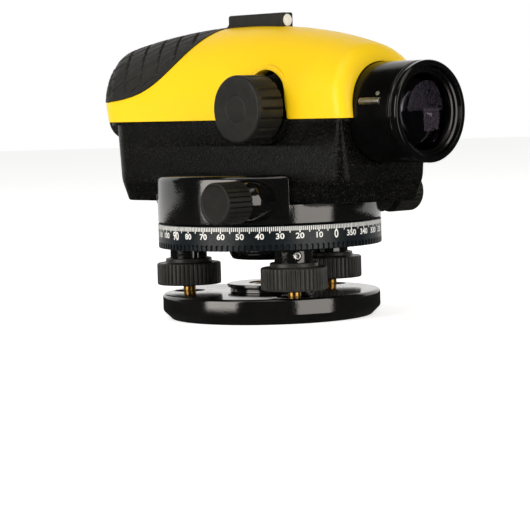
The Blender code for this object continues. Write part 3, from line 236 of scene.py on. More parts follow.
paint = {
    "enamel": makeEnamel("blackEnamel", ("#080808", "#0D0D0C"), 0.9 * mm, 0.024 * mm, (0.07, 0.13), 0.8),
    "texturedPaint": makeTexturedPaint(),
    "anodised": makeEnamel("glossAnodisedBlack", ("#040404", "#070707"), 3.0 * mm, 0.0015 * mm, (0.1, 0.15)),
    "tubeAnodised": makeEnamel("satinAnodisedBlack", ("#040404", "#070707"), 3.0 * mm, 0.0015 * mm,
                               (0.14, 0.2), 0.16),
    "gripRubber": makeRubber("gripRubber", ("#1B1B19", "#22221F"), 0.25 * mm, 0.03 * mm, (0.5, 0.62)),
    "knobRubber": makeRubber("knobRubber", ("#151513", "#1D1D1A"), 0.3 * mm, 0.012 * mm, (0.46, 0.58)),
    "footKnob": makeRubber("footKnobPlastic", ("#232321", "#2C2C29"), 0.3 * mm, 0.01 * mm, (0.34, 0.46)),
    "circle": makeRubber("circlePlastic", ("#0D1418", "#11191E"), 0.3 * mm, 0.008 * mm, (0.3, 0.4)),
    "cover": makeCoverPlastic(),
    "brass": makeMetal("turnedBrass", ("#A8803C", "#C79C52"), (0.22, 0.38), (0.2, 0.2, 2.0)),
    "steelZ": makeMetal("turnedSteel", ("#C4C4C0", "#E0E0DC"), (0.2, 0.34), (0.2, 0.2, 2.0)),
    "steelY": makeMetal("groundSteelShaft", ("#A9A9A6", "#C9C9C6"), (0.2, 0.34), (0.2, 2.0, 0.2)),
    "aluminium": makeMetal("machinedAluminium", ("#B4B5B8", "#CDCED0"), (0.3, 0.45), (2.0, 0.2, 0.2)),
    "lens": makeCoatedGlass("purpleCoatedLens", "#DDD2E4"),
    "nickel": makeMetal("nickelPlatedPin", ("#8C8A7C", "#A9A798"), (0.3, 0.5), (1.0, 1.0, 1.0), 0.03 * mm),
    "opticalGlass": makeClearGlass("opticalGlass", "#E4EDF0"),
    "vialGlass": makeClearGlass("vialGlass", "#D8E58A"),
    "ink": makeInk("whiteInk", ("#D9DAD6", "#E6E6E2")),
    "sightWhite": makeInk("whiteSightPlastic", ("#DDDDD8", "#E9E9E6")),
    "redInk": makeInk("redInk", ("#B3241B", "#C22B20")),
}
print("finishes made:", len(paint))


# mesh helpers

def meshObject(name, points, faces, smooth=32.0):
    mesh = bpy.data.meshes.new(name)
    mesh.from_pydata(np.asarray(points, dtype=float).tolist(), [], np.asarray(faces).tolist())
    cage = bmesh.new()
    cage.from_mesh(mesh)
    bmesh.ops.remove_doubles(cage, verts=cage.verts, dist=1e-7)
    bmesh.ops.recalc_face_normals(cage, faces=cage.faces)
    cage.to_mesh(mesh)
    cage.free()
    obj = bpy.data.objects.new(name, mesh)
    bpy.context.scene.collection.objects.link(obj)
    shade(obj, smooth)
    return obj


def shade(obj, smooth=32.0):
    obj.data.shade_smooth()
    obj.data.set_sharp_from_angle(angle=math.radians(smooth))


def gridFaces(rows, columns, wrapRows, wrapColumns):
    i = np.arange(rows if wrapRows else rows - 1)[:, None]
    j = np.arange(columns if wrapColumns else columns - 1)[None, :]
    nextRow = (i + 1) % rows
    nextColumn = (j + 1) % columns
    quads = [i * columns + j, i * columns + nextColumn, nextRow * columns + nextColumn, nextRow * columns + j]
    return np.stack([np.broadcast_to(q, (i.size, j.size)).ravel() for q in quads], axis=1)


# telescope body, in mm; its neighbours share these sizes, and the corner radii run from floor to seam
bodySize = {"front": 72.3, "rear": -80.4, "half": 26.5, "seam": 87.9, "floor": 52.0, "wall": 2.4,
            "draft": 0.035, "edgeTop": 61.5, "edgeIn": 1.8, "ridge": 0.22, "cornerRear": 12.0,
            "cornerNear": (16.0, 6.0, 1.2), "cornerFar": (3.0, 2.0, 1.2),
            "axis": 90.0, "objective": 21.7, "eyepiece": 10.8, "drum": 37.6, "drumTop": 60.5}


def inMm(outline):
    return [tuple(value * mm for value in point) for point in outline]


# a corner (u, v, size) becomes a quadratic curve that starts and ends that size away from it,
# or just under half way to the next corner
def filleted(outline, closed, steps):
    points = []
    count = len(outline)
    for k, corner in enumerate(outline):
        here = np.array(corner[:2], dtype=float)
        size = corner[2] if len(corner) > 2 else 0.0
        inside = closed or 0 < k < count - 1
        if size == 0.0 or not inside:
            points.append(here)
            continue
        before = np.array(outline[k - 1][:2]) - here
        after = np.array(outline[(k + 1) % count][:2]) - here
        first = here + before / np.linalg.norm(before) * min(size, np.linalg.norm(before) * 0.49)
        last = here + after / np.linalg.norm(after) * min(size, np.linalg.norm(after) * 0.49)
        for t in np.linspace(0, 1, steps + 1):
            points.append(first * (1 - t) ** 2 + 2 * here * t * (1 - t) + last * t ** 2)
    return np.array(points)


axisOrder = {"Z": (0, 1, 2), "X": (2, 0, 1), "Y": (1, 2, 0)}


# moves a shape made round Z onto another axis; -Y is Y turned half round Z
def toAxis(points, axis, at):
    turned = points[..., list(axisOrder[axis[-1]])]
    if axis == "-Y":
        turned = turned * (-1, -1, 1)
    return turned + np.array(at)


# a profile of (radius, height, fillet) turned round an axis: (r cos t, r sin t, h), less what ribs dig out
def revolve(name, outline, at=(0.0, 0.0, 0.0), axis="Z", steps=96, closed=False, ribs=None, smooth=32.0):
    profile = filleted(outline, closed, 5)
    turn = np.linspace(0, math.tau, steps, endpoint=False)[None, :]
    radius = np.repeat(profile[:, :1], steps, axis=1)
    height = np.repeat(profile[:, 1:], steps, axis=1)
    if ribs is not None:
        radius = radius - ribs(turn, height, radius)
    points = np.stack([radius * np.cos(turn), radius * np.sin(turn), height], axis=-1)
    points = toAxis(points, axis, at).reshape(-1, 3)
    return meshObject(name, points, gridFaces(len(profile), steps, closed, True), smooth)


def boxPiece(name, low, high, edge=0.0):
    low = Vector(low)
    high = Vector(high)
    cage = bmesh.new()
    bmesh.ops.create_cube(cage, size=1.0)
    bmesh.ops.scale(cage, vec=high - low, verts=cage.verts)
    bmesh.ops.translate(cage, vec=(low + high) / 2, verts=cage.verts)
    mesh = bpy.data.meshes.new(name)
    cage.to_mesh(mesh)
    cage.free()
    obj = bpy.data.objects.new(name, mesh)
    bpy.context.scene.collection.objects.link(obj)
    if edge:
        addBevel(obj, edge)
    return obj


def addBevel(obj, width, segments=3, angle=40.0):
    bevel = obj.modifiers.new("Bevel", "BEVEL")
    bevel.width = width
    bevel.segments = segments
    bevel.limit_method = "ANGLE"
    bevel.angle_limit = math.radians(angle)


# fills each open loop of edges with one flat face and turns every face outwards
def closeHoles(obj):
    cage = bmesh.new()
    cage.from_mesh(obj.data)
    bmesh.ops.holes_fill(cage, edges=[edge for edge in cage.edges if edge.is_boundary])
    bmesh.ops.recalc_face_normals(cage, faces=cage.faces)
    cage.to_mesh(obj.data)
    cage.free()
    return obj


# an outline (u, v) at two levels of the axis, with a wall between them and a flat face on each end
def prism(name, outline, low, high, axis="Y"):
    count = len(outline)
    flat = np.array([(u, v, 0.0) for u, v in outline])
    points = np.concatenate([flat + (0, 0, low), flat + (0, 0, high)])
    if axis == "Y":
        points = np.stack([points[:, 0], points[:, 2], points[:, 1]], axis=1)
    return closeHoles(meshObject(name, points, gridFaces(2, count, False, True)))


def applied(obj):
    depsgraph = bpy.context.evaluated_depsgraph_get()
    mesh = bpy.data.meshes.new_from_object(obj.evaluated_get(depsgraph))
    obj.modifiers.clear()
    obj.data = mesh
    return obj


def cut(obj, tools, operation="DIFFERENCE"):
    for tool in tools:
        modifier = obj.modifiers.new("cut", "BOOLEAN")
        modifier.operation = operation
        modifier.solver = "EXACT"
        modifier.object = tool
    applied(obj)
    for tool in tools:
        bpy.data.objects.remove(tool, do_unlink=True)
    return obj


def finishPiece(obj, material, body, nodes=()):
    obj.data.materials.clear()
    obj.data.materials.append(paint[material])
    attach(obj, body)
    if nodes:
        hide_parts(*nodes)
    return obj


def smoothStep(low, high, value):
    t = np.clip((value - low) / (high - low), 0.0, 1.0)
    return t * t * (3 - 2 * t)


def arcPoints(centre, radius, start, end, steps):
    turn = np.radians(np.linspace(start, end, steps + 1))
    return [(centre[0] + radius * math.cos(t), centre[1] + radius * math.sin(t)) for t in turn]


# flutes run along the side of a knob and fade out at both ends: depth times (1 - |sin(n t / 2)| / width)
def flutes(count, depth, low, high, fade, width, sharp):
    def dig(turn, height, radius):
        wave = np.abs(np.sin(turn * count / 2))
        groove = np.clip(1 - wave / width, 0.0, 1.0) ** sharp
        along = smoothStep(low, low + fade, height) * (1 - smoothStep(high - fade, high, height))
        return depth * groove * along
    return dig


# levelling base

def makeBasePlate():
    size = {"radius": 48.8, "foot": 44.9, "chamfer": 3.8, "top": 11.3, "edge": 1.6, "hub": 19.8,
            "hubLow": 13.6, "hubTop": 15.0, "neck": 18.6, "neckTop": 13.2, "bore": 10.1,
            "recess": 7.0, "recessTop": 20.0, "floor": 2.2, "ball": 5.3, "seat": 4.2}
    outline = [
        (size["bore"], size["hubTop"], 0.3), (size["hub"], size["hubTop"], 0.35),
        (size["hub"], size["hubLow"], 0.3), (size["neck"], size["neckTop"], 0.3),
        (size["neck"], size["top"], 0.5), (size["radius"], size["top"], size["edge"]),
        (size["radius"], size["chamfer"], 0.8), (size["foot"], 0.0, 0.3), (size["bore"], 0.0, 0.2),
    ]
    plate = revolve("basePlate", inMm(outline), steps=160, closed=True)
    # each recess ends in a spherical seat for the ball of its foot screw
    edge = -math.degrees(math.asin((size["ball"] - size["floor"]) / size["seat"]))
    recess = [(0, size["recessTop"]), (size["recess"], size["recessTop"]), (size["recess"], size["floor"])]
    recess += arcPoints((0, size["ball"]), size["seat"], edge, -89, 10) + [(0, size["ball"] - size["seat"])]
    tools = []
    for number in (1, 2, 3):
        centre = centreOf(f"foot_spindle_{number}")
        tools.append(revolve(f"recess{number}", inMm(recess), (centre.x, centre.y, 0.0), steps=48))
    cut(plate, tools)
    shade(plate)
    finishPiece(plate, "enamel", "base", ["base_plate"])


def makeFootScrews():
    size = {"knob": 14.45, "bottom": 14.4, "top": 24.3, "collar": 10.35, "collarTop": 26.3, "cup": 8.7,
            "cupFloor": 17.4, "bore": 4.3, "bandLow": 16.2, "bandHigh": 22.6, "ribs": 44, "ribDepth": 0.55,
            "pin": 4.0, "pinLow": 14.2, "neck": 2.8, "neckTop": 13.4, "ball": 5.3}
    for number in (1, 2, 3):
        centre = centreOf(f"foot_knob_{number}")
        at = (centre.x, centre.y, 0.0)
        outline = [
            (size["cup"], size["collarTop"], 0.2), (size["collar"], size["collarTop"], 0.5),
            (size["collar"] + 0.2, size["top"] + 0.2, 0.3), (size["collar"] + 1.4, size["top"], 0.3),
            (size["knob"], size["top"], 1.1), (size["knob"], size["bandHigh"], 0.05),
            (size["knob"] + 0.02, size["bandLow"], 0.05), (size["knob"], size["bottom"], 0.8),
            (size["bore"], size["bottom"], 0.2), (size["bore"], size["cupFloor"], 0.2),
            (size["cup"], size["cupFloor"], 0.2),
        ]
        ribs = flutes(size["ribs"], size["ribDepth"] * mm, size["bottom"] * mm, size["top"] * mm,
                      0.7 * mm, 0.62, 0.8)

        def sideOnly(turn, height, radius, ribs=ribs):
            return ribs(turn, height, radius) * (radius > (size["knob"] - 1.6) * mm)
        knob = revolve(f"footKnob{number}", inMm(outline), at,
                       steps=size["ribs"] * 10, closed=True, ribs=sideOnly, smooth=40.0)
        finishPiece(knob, "footKnob", f"foot_screw_{number}", [f"foot_knob_{number}"])
        top = boxOf(f"foot_spindle_{number}")[1].z / mm
        ball = arcPoints((0, size["ball"]), size["pin"], -90, 44, 14)[::-1]
        outline = [(0, top, 0), (size["pin"], top, 0.8), (size["pin"], size["pinLow"], 0.2),
                   (size["neck"], size["neckTop"], 0.3)] + ball
        pin = revolve(f"footPin{number}", inMm(outline), at, steps=48)
        finishPiece(pin, "brass", f"foot_screw_{number}", [f"foot_spindle_{number}"])


def makeTribrach():
    size = {"plate": 46.8, "top": 41.9, "bottom": 32.9, "boss": 8.3, "bossLow": 21.5, "bossRoot": 36.0,
            "axisBoss": 17.0, "flare": 18.5, "shoulder": 28.7, "axisLow": 26.0, "bore": 11.4,
            "tube": 14.0, "tubeTop": 55.2, "step": 17.0, "stepTop": 50.7,
            "screwBore": 4.3, "screwLow": 10.0, "screwTop": 39.8}
    outline = [
        (size["bore"], size["tubeTop"], 0), (size["tube"], size["tubeTop"], 0.3),
        (size["tube"], size["stepTop"], 0), (size["step"], size["stepTop"], 0.3),
        (size["step"], size["top"], 0), (size["plate"], size["top"], 0.3),
        (size["plate"], size["bottom"], 0.4), (size["flare"], size["bottom"], 0.8),
        (size["flare"], size["shoulder"], 1.2), (size["axisBoss"], size["axisLow"], 0.8),
        (size["bore"], size["axisLow"], 0.3),
    ]
    casting = revolve("tribrachCasting", inMm(outline), steps=128, closed=True)
    bosses = []
    holes = []
    for number in (1, 2, 3):
        centre = centreOf(f"foot_spindle_{number}")
        at = (centre.x, centre.y, 0.0)
        boss = [(0, size["bossRoot"], 0), (size["boss"] + 2.2, size["bossRoot"], 0),
                (size["boss"] + 2.0, 33.2, 0.2), (size["boss"], 32.4, 1.4),
                (size["boss"], size["bossLow"], 0.4), (0, size["bossLow"], 0)]
        bosses.append(revolve(f"boss{number}", inMm(boss), at, steps=56))
        bore = [(0, size["screwTop"]), (size["screwBore"], size["screwTop"]),
                (size["screwBore"], size["screwLow"]), (0, size["screwLow"])]
        holes.append(revolve(f"bore{number}", inMm(bore), at, steps=40))
        holes.append(setScrewHole(number))
    cut(casting, bosses, "UNION")
    cut(casting, holes)
    shade(casting)
    finishPiece(casting, "enamel", "tribrach", ["tribrach"])


def setScrewAxis(number):
    screw = centreOf(f"foot_set_screw_{number}")
    pin = centreOf(f"foot_spindle_{number}")
    return screw, Vector((screw.x - pin.x, screw.y - pin.y, 0.0)).normalized()


def alongRay(obj, start, direction):
    turn = Vector((0, 0, 1)).rotation_difference(direction).to_matrix().to_4x4()
    obj.data.transform(Matrix.Translation(start) @ turn)
    return obj


def setScrewHole(number):
    screw, outward = setScrewAxis(number)
    outline = [(0, 4), (2.6, 4), (2.6, 1.6), (2.0, 1.0), (2.0, -2.5), (0, -2.5)]
    hole = revolve(f"screwHole{number}", inMm(outline), steps=32)
    return alongRay(hole, screw, outward)


def makeSetScrews():
    for number in (1, 2, 3):
        screw, outward = setScrewAxis(number)
        outline = [(0, 0.2, 0), (0.95, 0.2, 0.05), (0.95, 1.4, 0.15), (1.75, 1.4, 0.35),
                   (1.75, -1.3, 0.2), (0, -1.3, 0)]

        def hexSocket(turn, height, radius):
            flat = math.cos(math.pi / 6) / np.cos((turn % (math.pi / 3)) - math.pi / 6)
            return (1 - flat) * radius * (radius < 1.0 * mm)
        pin = revolve(f"setScrew{number}", inMm(outline), steps=48, ribs=hexSocket)
        alongRay(pin, screw, outward)
        finishPiece(pin, "steelZ", "tribrach", [f"foot_set_screw_{number}"])


makeBasePlate()
makeFootScrews()
makeTribrach()
makeSetScrews()
print("levelling base done")


# horizontal circle

circleSize = {"radius": 50.0, "low": 32.1, "high": 42.9, "gripTop": 35.4, "inner": 47.4, "lip": 38.0,
              "webLow": 41.7, "slots": 120, "slotWidth": 1.45, "slotTop": 34.8, "slotDepth": 0.9,
              "zeroAngle": -8.5}


def makeCircle():
    size = circleSize
    low, high = boxOf("horizontal_circle")
    radius = (high.x - low.x) / 2 / mm
    slotRows = np.linspace(size["low"] + 0.5, size["slotTop"] + 0.4, 15)
    rows = np.concatenate([[size["low"], size["low"] + 0.25], slotRows, [size["gripTop"] + 0.5]])
    outline = [(size["lip"], size["high"], 0), (radius, size["high"], 0.4), (radius, size["webLow"] - 0.1, 0)]
    outline += [(radius, z, 0) for z in rows[::-1]]
    outline[-1] = (radius - 0.35, size["low"], 0)
    outline += [(size["inner"], size["low"], 0.2), (size["inner"], size["webLow"], 0),
                (size["lip"], size["webLow"], 0)]

    # grip slots round the lower edge: straight sides up to slotTop, with a half-round end
    def slotCut(turn, height, radius):
        pitch = math.tau * size["radius"] * mm / size["slots"]
        across = ((turn * size["slots"] / math.tau) % 1.0 - 0.5) * pitch
        half = size["slotWidth"] / 2 * mm
        dome = np.sqrt(np.clip(half ** 2 - across ** 2, 0, None)) - half + size["slotTop"] * mm
        side = 1 - smoothStep(half - 0.15 * mm, half, np.abs(across))
        below = 1 - smoothStep(dome - 0.2 * mm, dome, height)
        return size["slotDepth"] * mm * side * below * (radius > (size["radius"] - 1) * mm)
    ring = revolve("degreeCircle", inMm(outline), steps=size["slots"] * 12,
                   closed=True, ribs=slotCut, smooth=38.0)
    finishPiece(ring, "circle", "circle", ["horizontal_circle"])


# flat marks (u, v) wrapped on the rim: u is length along the rim from the angle, v is height
def wrapOnCircle(points, angle, height, lift):
    radius = (circleSize["radius"] + lift) * mm
    turn = angle + points[:, 0] / radius
    return np.stack([radius * np.cos(turn), radius * np.sin(turn), points[:, 1] + height], axis=1)


def textMesh(text, height, wide):
    curve = bpy.data.curves.new("figure", "FONT")
    curve.body = text
    curve.size = height / 0.72
    curve.align_x = "CENTER"
    curve.align_y = "CENTER"
    curve.offset = height * 0.03
    curve.resolution_u = 3
    holder = bpy.data.objects.new("figure", curve)
    bpy.context.scene.collection.objects.link(holder)
    depsgraph = bpy.context.evaluated_depsgraph_get()
    mesh = bpy.data.meshes.new_from_object(holder.evaluated_get(depsgraph))
    points = np.array([tuple(v.co) for v in mesh.vertices]) * (wide, 1.0, 1.0)
    faces = [list(p.vertices) for p in mesh.polygons]
    bpy.data.objects.remove(holder, do_unlink=True)
    return points, faces


def makeCircleMarks():
    size = {"figure": 2.45, "mainFigure": 3.6, "figureWide": 1.14, "mainWide": 0.88, "middle": 38.3,
            "bandLow": 40.7, "bandHigh": 42.5, "tick": 0.44, "longTick": 39.85, "lift": 0.03}
    points = []
    faces = []

    def addPatch(patch, patchFaces):
        start = sum(len(p) for p in points)
        points.append(patch)
        faces.extend([[start + index for index in face] for face in patchFaces])
    for degree in range(360):
        angle = math.radians(circleSize["zeroAngle"] - degree)
        low = size["longTick"] if degree % 5 == 0 else size["bandLow"]
        wide = size["tick"] * (1.15 if degree % 10 == 0 else 1.0) / 2
        tall = size["bandHigh"] - low
        corner = np.array([(-wide, 0), (wide, 0), (wide, tall), (-wide, tall)]) * mm
        addPatch(wrapOnCircle(corner, angle, low * mm, size["lift"]), [[0, 1, 2, 3]])
    for degree in range(0, 360, 10):
        main = degree % 90 == 0
        height = (size["mainFigure"] if main else size["figure"]) * mm
        glyphs, glyphFaces = textMesh(str(degree), height, size["mainWide"] if main else size["figureWide"])
        angle = math.radians(circleSize["zeroAngle"] - degree)
        addPatch(wrapOnCircle(glyphs, angle, size["middle"] * mm, size["lift"]), glyphFaces)
    mesh = bpy.data.meshes.new("circleMarks")
    mesh.from_pydata(np.concatenate(points).tolist(), [], faces)
    marks = bpy.data.objects.new("circleMarks", mesh)
    bpy.context.scene.collection.objects.link(marks)
    finishPiece(marks, "ink", "circle")


makeCircle()
makeCircleMarks()
print("degree circle done")


# alidade housing and fine drive

# side view of the raised middle of the housing, with sloping ends and rounded shoulders
def drumProfile(name, grow, half):
    size = {"foot": 39.2, "shoulder": 3.2, "low": 40.0}
    body = bodySize
    top = body["drumTop"] - 0.3 + grow
    foot = [(size["foot"] + grow + 0.6, size["low"], 0), (size["foot"] + grow, body["floor"] - 0.4, 0),
            (body["drum"] - 0.6 + grow, top, size["shoulder"])]
    outline = filleted([(-x, z, r) for x, z, r in foot] + foot[::-1], False, 8)
    return prism(name, inMm(outline), -half, half)


def makeHousing():
    size = {"radius": 50.0, "low": 43.3, "high": 64.6, "edge": 3.0, "saddle": 51.6, "half": 27.6,
            "cavity": 38.0, "step": 48.6, "well": 31.0, "roof": 57.8, "reach": 60.0,
            "bush": 8.9, "bushIn": 33.0, "bushOut": 63.0}
    outline = [(0, size["high"], 0), (size["radius"], size["high"], size["edge"]),
               (size["radius"], size["low"], 0.5), (size["cavity"], size["low"], 0.2),
               (size["cavity"], size["step"], 0), (size["well"], size["step"], 0),
               (size["well"], size["roof"], 0), (0, size["roof"], 0)]
    housing = revolve("alidadeHousing", inMm(outline), steps=160)
    reach = size["reach"] * mm
    half = size["half"] * mm
    saddle = boxPiece("saddle", (-reach, -half, size["saddle"] * mm), (reach, half, 80 * mm))
    cut(saddle, [drumProfile("drumKept", 0.0, 0.1)])
    cut(housing, [saddle])
    addBevel(housing, 0.9 * mm, 4, 50.0)
    applied(housing)
    bores = []
    for node, axis in (("shaft_bush_far", "Y"), ("shaft_bush_near", "-Y")):
        bush = centreOf(node)
        bore = [(0, size["bushOut"]), (size["bush"], size["bushOut"]), (size["bush"], size["bushIn"]),
                (0, size["bushIn"])]
        bores.append(revolve("bushBore" + axis, inMm(bore), (bush.x, 0, bush.z), axis, steps=64))
    cut(housing, bores)
    shade(housing, 35.0)
    finishPiece(housing, "enamel", "alidade", ["alidade_housing"])


def makeFineDrive():
    size = {"knob": 9.0, "ribs": 25, "ribDepth": 0.75, "nose": 6.6, "bush": 8.6, "bore": 3.3, "boreDeep": 4.0}
    for name, axis in (("near", "-Y"), ("far", "Y")):
        back, face = sorted(abs(corner.y) / mm for corner in boxOf(f"fine_knob_{name}"))
        centre = centreOf(f"fine_knob_{name}")
        at = (centre.x, 0.0, centre.z)
        radius, bore, deep = size["knob"], size["bore"], face - size["boreDeep"]
        outline = [(0, face - 0.25, 0), (radius - 1.5, face - 0.25, 0.3), (radius - 1.1, face, 0.25),
                   (radius, face, 0.7), (radius, face - 1.6, 0), (radius, face - 2.2, 0),
                   (radius, face - 3.0, 0), (radius, back + 1.0, 0), (radius, back, 0.5), (bore, back, 0.2),
                   (bore, deep, 0), (0, deep, 0)]
        ribs = flutes(size["ribs"], size["ribDepth"] * mm, (back - 1) * mm, (face - 0.4) * mm,
                      1.1 * mm, 0.42, 0.7)

        def sideOnly(turn, height, radius, ribs=ribs):
            return ribs(turn, height, radius) * (radius > (size["knob"] - 0.6) * mm)
        knob = revolve(f"fineKnob_{name}", inMm(outline), at, axis, steps=size["ribs"] * 14,
                       ribs=sideOnly, smooth=40.0)
        finishPiece(knob, "knobRubber", "fine_drive", [f"fine_knob_{name}"])
        inner, outer = sorted(abs(corner.y) / mm for corner in boxOf(f"shaft_bush_{name}"))
        outline = [(bore, outer, 0), (size["nose"], outer, 0.5), (size["bush"], outer - 4.2, 1.5),
                   (size["bush"], inner, 0), (bore, inner, 0)]
        bush = revolve(f"shaftBush_{name}", inMm(outline), at, axis, steps=72, closed=True)
        finishPiece(bush, "enamel", "alidade", [f"shaft_bush_{name}"])


makeHousing()
makeFineDrive()
print("alidade housing and fine drive done")


# telescope body

# plan outline: straight sides and ends joined by quarter circles, and a fine ridge at the near front corner
def plateOutline(rear, front, half, cornerRear, cornerNear, cornerFar, steps=8, ridge=0.0):
    start = front - cornerNear
    outline = [(start - 0.8, -half), (start - 0.4, -half - ridge)]
    outline += arcPoints((start, -half + cornerNear), cornerNear, -90, 0, steps)
    outline += arcPoints((front - cornerFar, half - cornerFar), cornerFar, 0, 90, steps)
    outline += arcPoints((rear + cornerRear, half - cornerRear), cornerRear, 90, 180, steps)
    outline += arcPoints((rear + cornerRear, -half + cornerRear), cornerRear, 180, 270, steps)
    return outline


def axialTool(name, radius, low, high, steps=96):
    outline = [(0, high * mm), (radius * mm, high * mm), (radius * mm, low * mm), (0, low * mm)]
    return revolve(name, outline, (0, 0, bodySize["axis"] * mm), "X", steps=steps)


# a tub lofted through plan outlines: each is drawn in by draft times depth, then by the bottom edge's roll,
# and the near front corner's radius grows towards the floor
def bodyRings(heights, wall):
    size = bodySize
    top, edge, floor = size["seam"], size["edgeTop"], size["floor"]
    below = np.clip(edge - heights, 0, None)
    soft = np.where(np.abs(heights - edge) < 2.5, (heights - edge - 2.5) ** 2 / 10.0, below)
    turnIn = np.clip(floor + 0.6 - heights, 0, None) ** 2 * 1.1
    inset = (top - heights) * size["draft"] + soft / (edge - floor) * size["edgeIn"] + turnIn + wall
    near = np.maximum(np.interp(heights, [floor, edge, top], size["cornerNear"]) - wall, 0.3)
    far = np.maximum(np.interp(heights, [floor, edge, top], size["cornerFar"]) - wall, 0.3)
    rings = []
    for height, draw, nearRadius, farRadius in zip(heights, inset, near, far):
        outline = plateOutline(size["rear"] + draw, size["front"] - draw, size["half"] - draw,
                               size["cornerRear"] - wall, nearRadius, farRadius,
                               ridge=0 if wall else size["ridge"])
        rings.append([(x, y, height) for x, y in outline])
    return np.array(rings) * mm


def makeBody():
    size = bodySize
    top, edge, floor = size["seam"], size["edgeTop"], size["floor"]
    heights = np.concatenate([[floor, floor + 0.05, floor + 0.25], np.linspace(floor + 0.6, edge - 2.5, 8),
                              np.linspace(edge - 2.0, edge + 2.5, 9), np.linspace(edge + 4.0, top, 17)])
    inside = heights[heights > floor + size["wall"] + 0.3]
    inside = np.concatenate([inside[::-1], [floor + size["wall"]]])
    rings = np.concatenate([bodyRings(heights, 0.0), bodyRings(inside, size["wall"])])
    faces = gridFaces(len(rings), rings.shape[1], False, True)
    body = meshObject("telescopeBody", rings.reshape(-1, 3), faces)
    closeHoles(body)
    cut(body, [seatFlange(), focusBoss()], "UNION")
    cut(body, [drumProfile("drumStep", 0.6, 0.1)])
    cut(body, [axialTool("front", size["objective"], 60, 90), axialTool("rear", size["eyepiece"], -100, -70)])
    addBevel(body, 0.3 * mm, 2, 55.0)
    applied(body)
    shade(body, 35.0)
    finishPiece(body, "texturedPaint", "alidade", ["main_body"])


# rim that closes the overhang of the cover at both ends
def seatFlange():
    size = {"thickness": 1.2, "inset": 1.6, "rear": -86.3, "front": 75.4,
            "cornerRear": 14.0, "cornerFront": 6.5}
    body = bodySize
    outline = plateOutline(size["rear"] + size["inset"], size["front"] - size["inset"], body["half"],
                           size["cornerRear"] - size["inset"], *[size["cornerFront"] - size["inset"]] * 2)
    wall = body["wall"]
    well = plateOutline(body["rear"] + wall, body["front"] - wall, body["half"] - wall,
                        body["cornerRear"] - wall, 1.0, 1.0)
    low, high = (body["seam"] - size["thickness"]) * mm, body["seam"] * mm
    flange = prism("seatFlange", inMm(outline), low, high, "Z")
    return cut(flange, [prism("seatWell", inMm(well), low - mm, high + mm, "Z")])


# round boss on the side of the body behind the focusing knob
def focusBoss():
    size = {"radius": 15.9, "face": 28.9, "root": 25.5, "bore": 3.7}
    centre = centreOf("focus_knob")
    outline = [(size["bore"], size["face"], 0), (size["radius"], size["face"], 0.8),
               (size["radius"] + 0.3, size["root"], 0), (size["bore"], size["root"], 0)]
    boss = revolve("focusBoss", inMm(outline), (centre.x, 0, centre.z), "-Y", closed=True)
    return cut(boss, [boxPiece("bossTop", (0, -0.05, bodySize["seam"] * mm), (0.06, 0, 0.13))])


makeBody()
print("telescope body done")


# yellow cover and rear grip

coverSize = {"half": 27.0, "low": 88.2, "band": 95.5, "crown": 129.6, "crownX": -8.0, "fallFront": 0.00165,
             "fallRear": 0.00135, "front": 75.4, "rear": -88.8, "filletFront": 6.5, "cornerRear": 14.0,
             "filletRear": 5.0, "lean": 0.17, "leanFrom": 40.0, "leanOver": 35.0, "tuck": 0.33, "wall": 2.6}


# for each station along the cover: its x, how far its side and top draw in round the end fillets, its tuck,
# and the share of its width that the end caps leave
def coverStations(count):
    size = coverSize
    rearTurn = np.radians(np.linspace(90, 0, 15))
    rearX = size["rear"] + size["cornerRear"] * (1 - np.sin(rearTurn))
    ratio = np.clip((rearX - size["rear"]) / size["filletRear"], 0, 1)
    rearTop = size["filletRear"] * (1 - np.sqrt(1 - (1 - ratio) ** 2))
    rearSide = size["cornerRear"] * (1 - np.cos(rearTurn))
    frontTurn = np.radians(np.linspace(0, 90, 13))
    frontX = size["front"] - size["filletFront"] * (1 - np.sin(frontTurn))
    frontIn = size["filletFront"] * (1 - np.cos(frontTurn))
    middle = np.linspace(rearX[-1], frontX[0], count)[1:-1]
    zero = np.zeros_like(middle)
    x = np.concatenate([rearX, middle, frontX])
    side = np.concatenate([rearSide, zero, frontIn])
    top = np.concatenate([rearTop, zero, frontIn])
    tuck = np.concatenate([np.sin(rearTurn), zero, np.zeros_like(frontX)])
    caps = 8
    shrink = np.concatenate([np.linspace(0, 1, caps, endpoint=False), np.ones(len(x)),
                             np.linspace(1, 0, caps + 1)[1:]])
    grow = [np.concatenate([np.full(caps, a[0]), a, np.full(caps, a[-1])]) for a in (x, side, top, tuck)]
    return grow + [shrink]


# the cover's skin: an upright band on each side, and between them a half ellipse (half cos t, rise sin t),
# whose height falls with the square of the distance from the crown; both ends lean in
def coverGrid(count, around, bandRows=5):
    size = coverSize
    x, side, top, tuck, shrink = [a[:, None] for a in coverStations(count)]
    turn = np.linspace(math.pi, 0, around)[None, :]
    half = size["half"] - side
    fall = np.where(x > size["crownX"], size["fallFront"], size["fallRear"])
    rise = size["crown"] - fall * (x - size["crownX"]) ** 2 - top - size["band"]
    lowBand = np.linspace(size["low"], size["band"], bandRows)[None, :-1]
    ones = np.ones_like(lowBand)
    y = np.concatenate([-half * ones, half * np.cos(turn), half * ones], axis=1) * shrink
    arch = size["band"] + rise * np.sin(turn)
    z = np.concatenate([lowBand + 0 * x, arch, lowBand[:, ::-1] + 0 * x], axis=1)
    blend = np.clip((x - size["leanFrom"]) / size["leanOver"], 0, 1) ** 2
    leanIn = size["lean"] * blend * np.clip(z - size["low"] - 1.8, 0, None)
    x = x - leanIn + size["tuck"] * tuck * np.clip(size["band"] - z, 0, None)
    return np.stack([x + 0 * z, y, z], axis=-1)


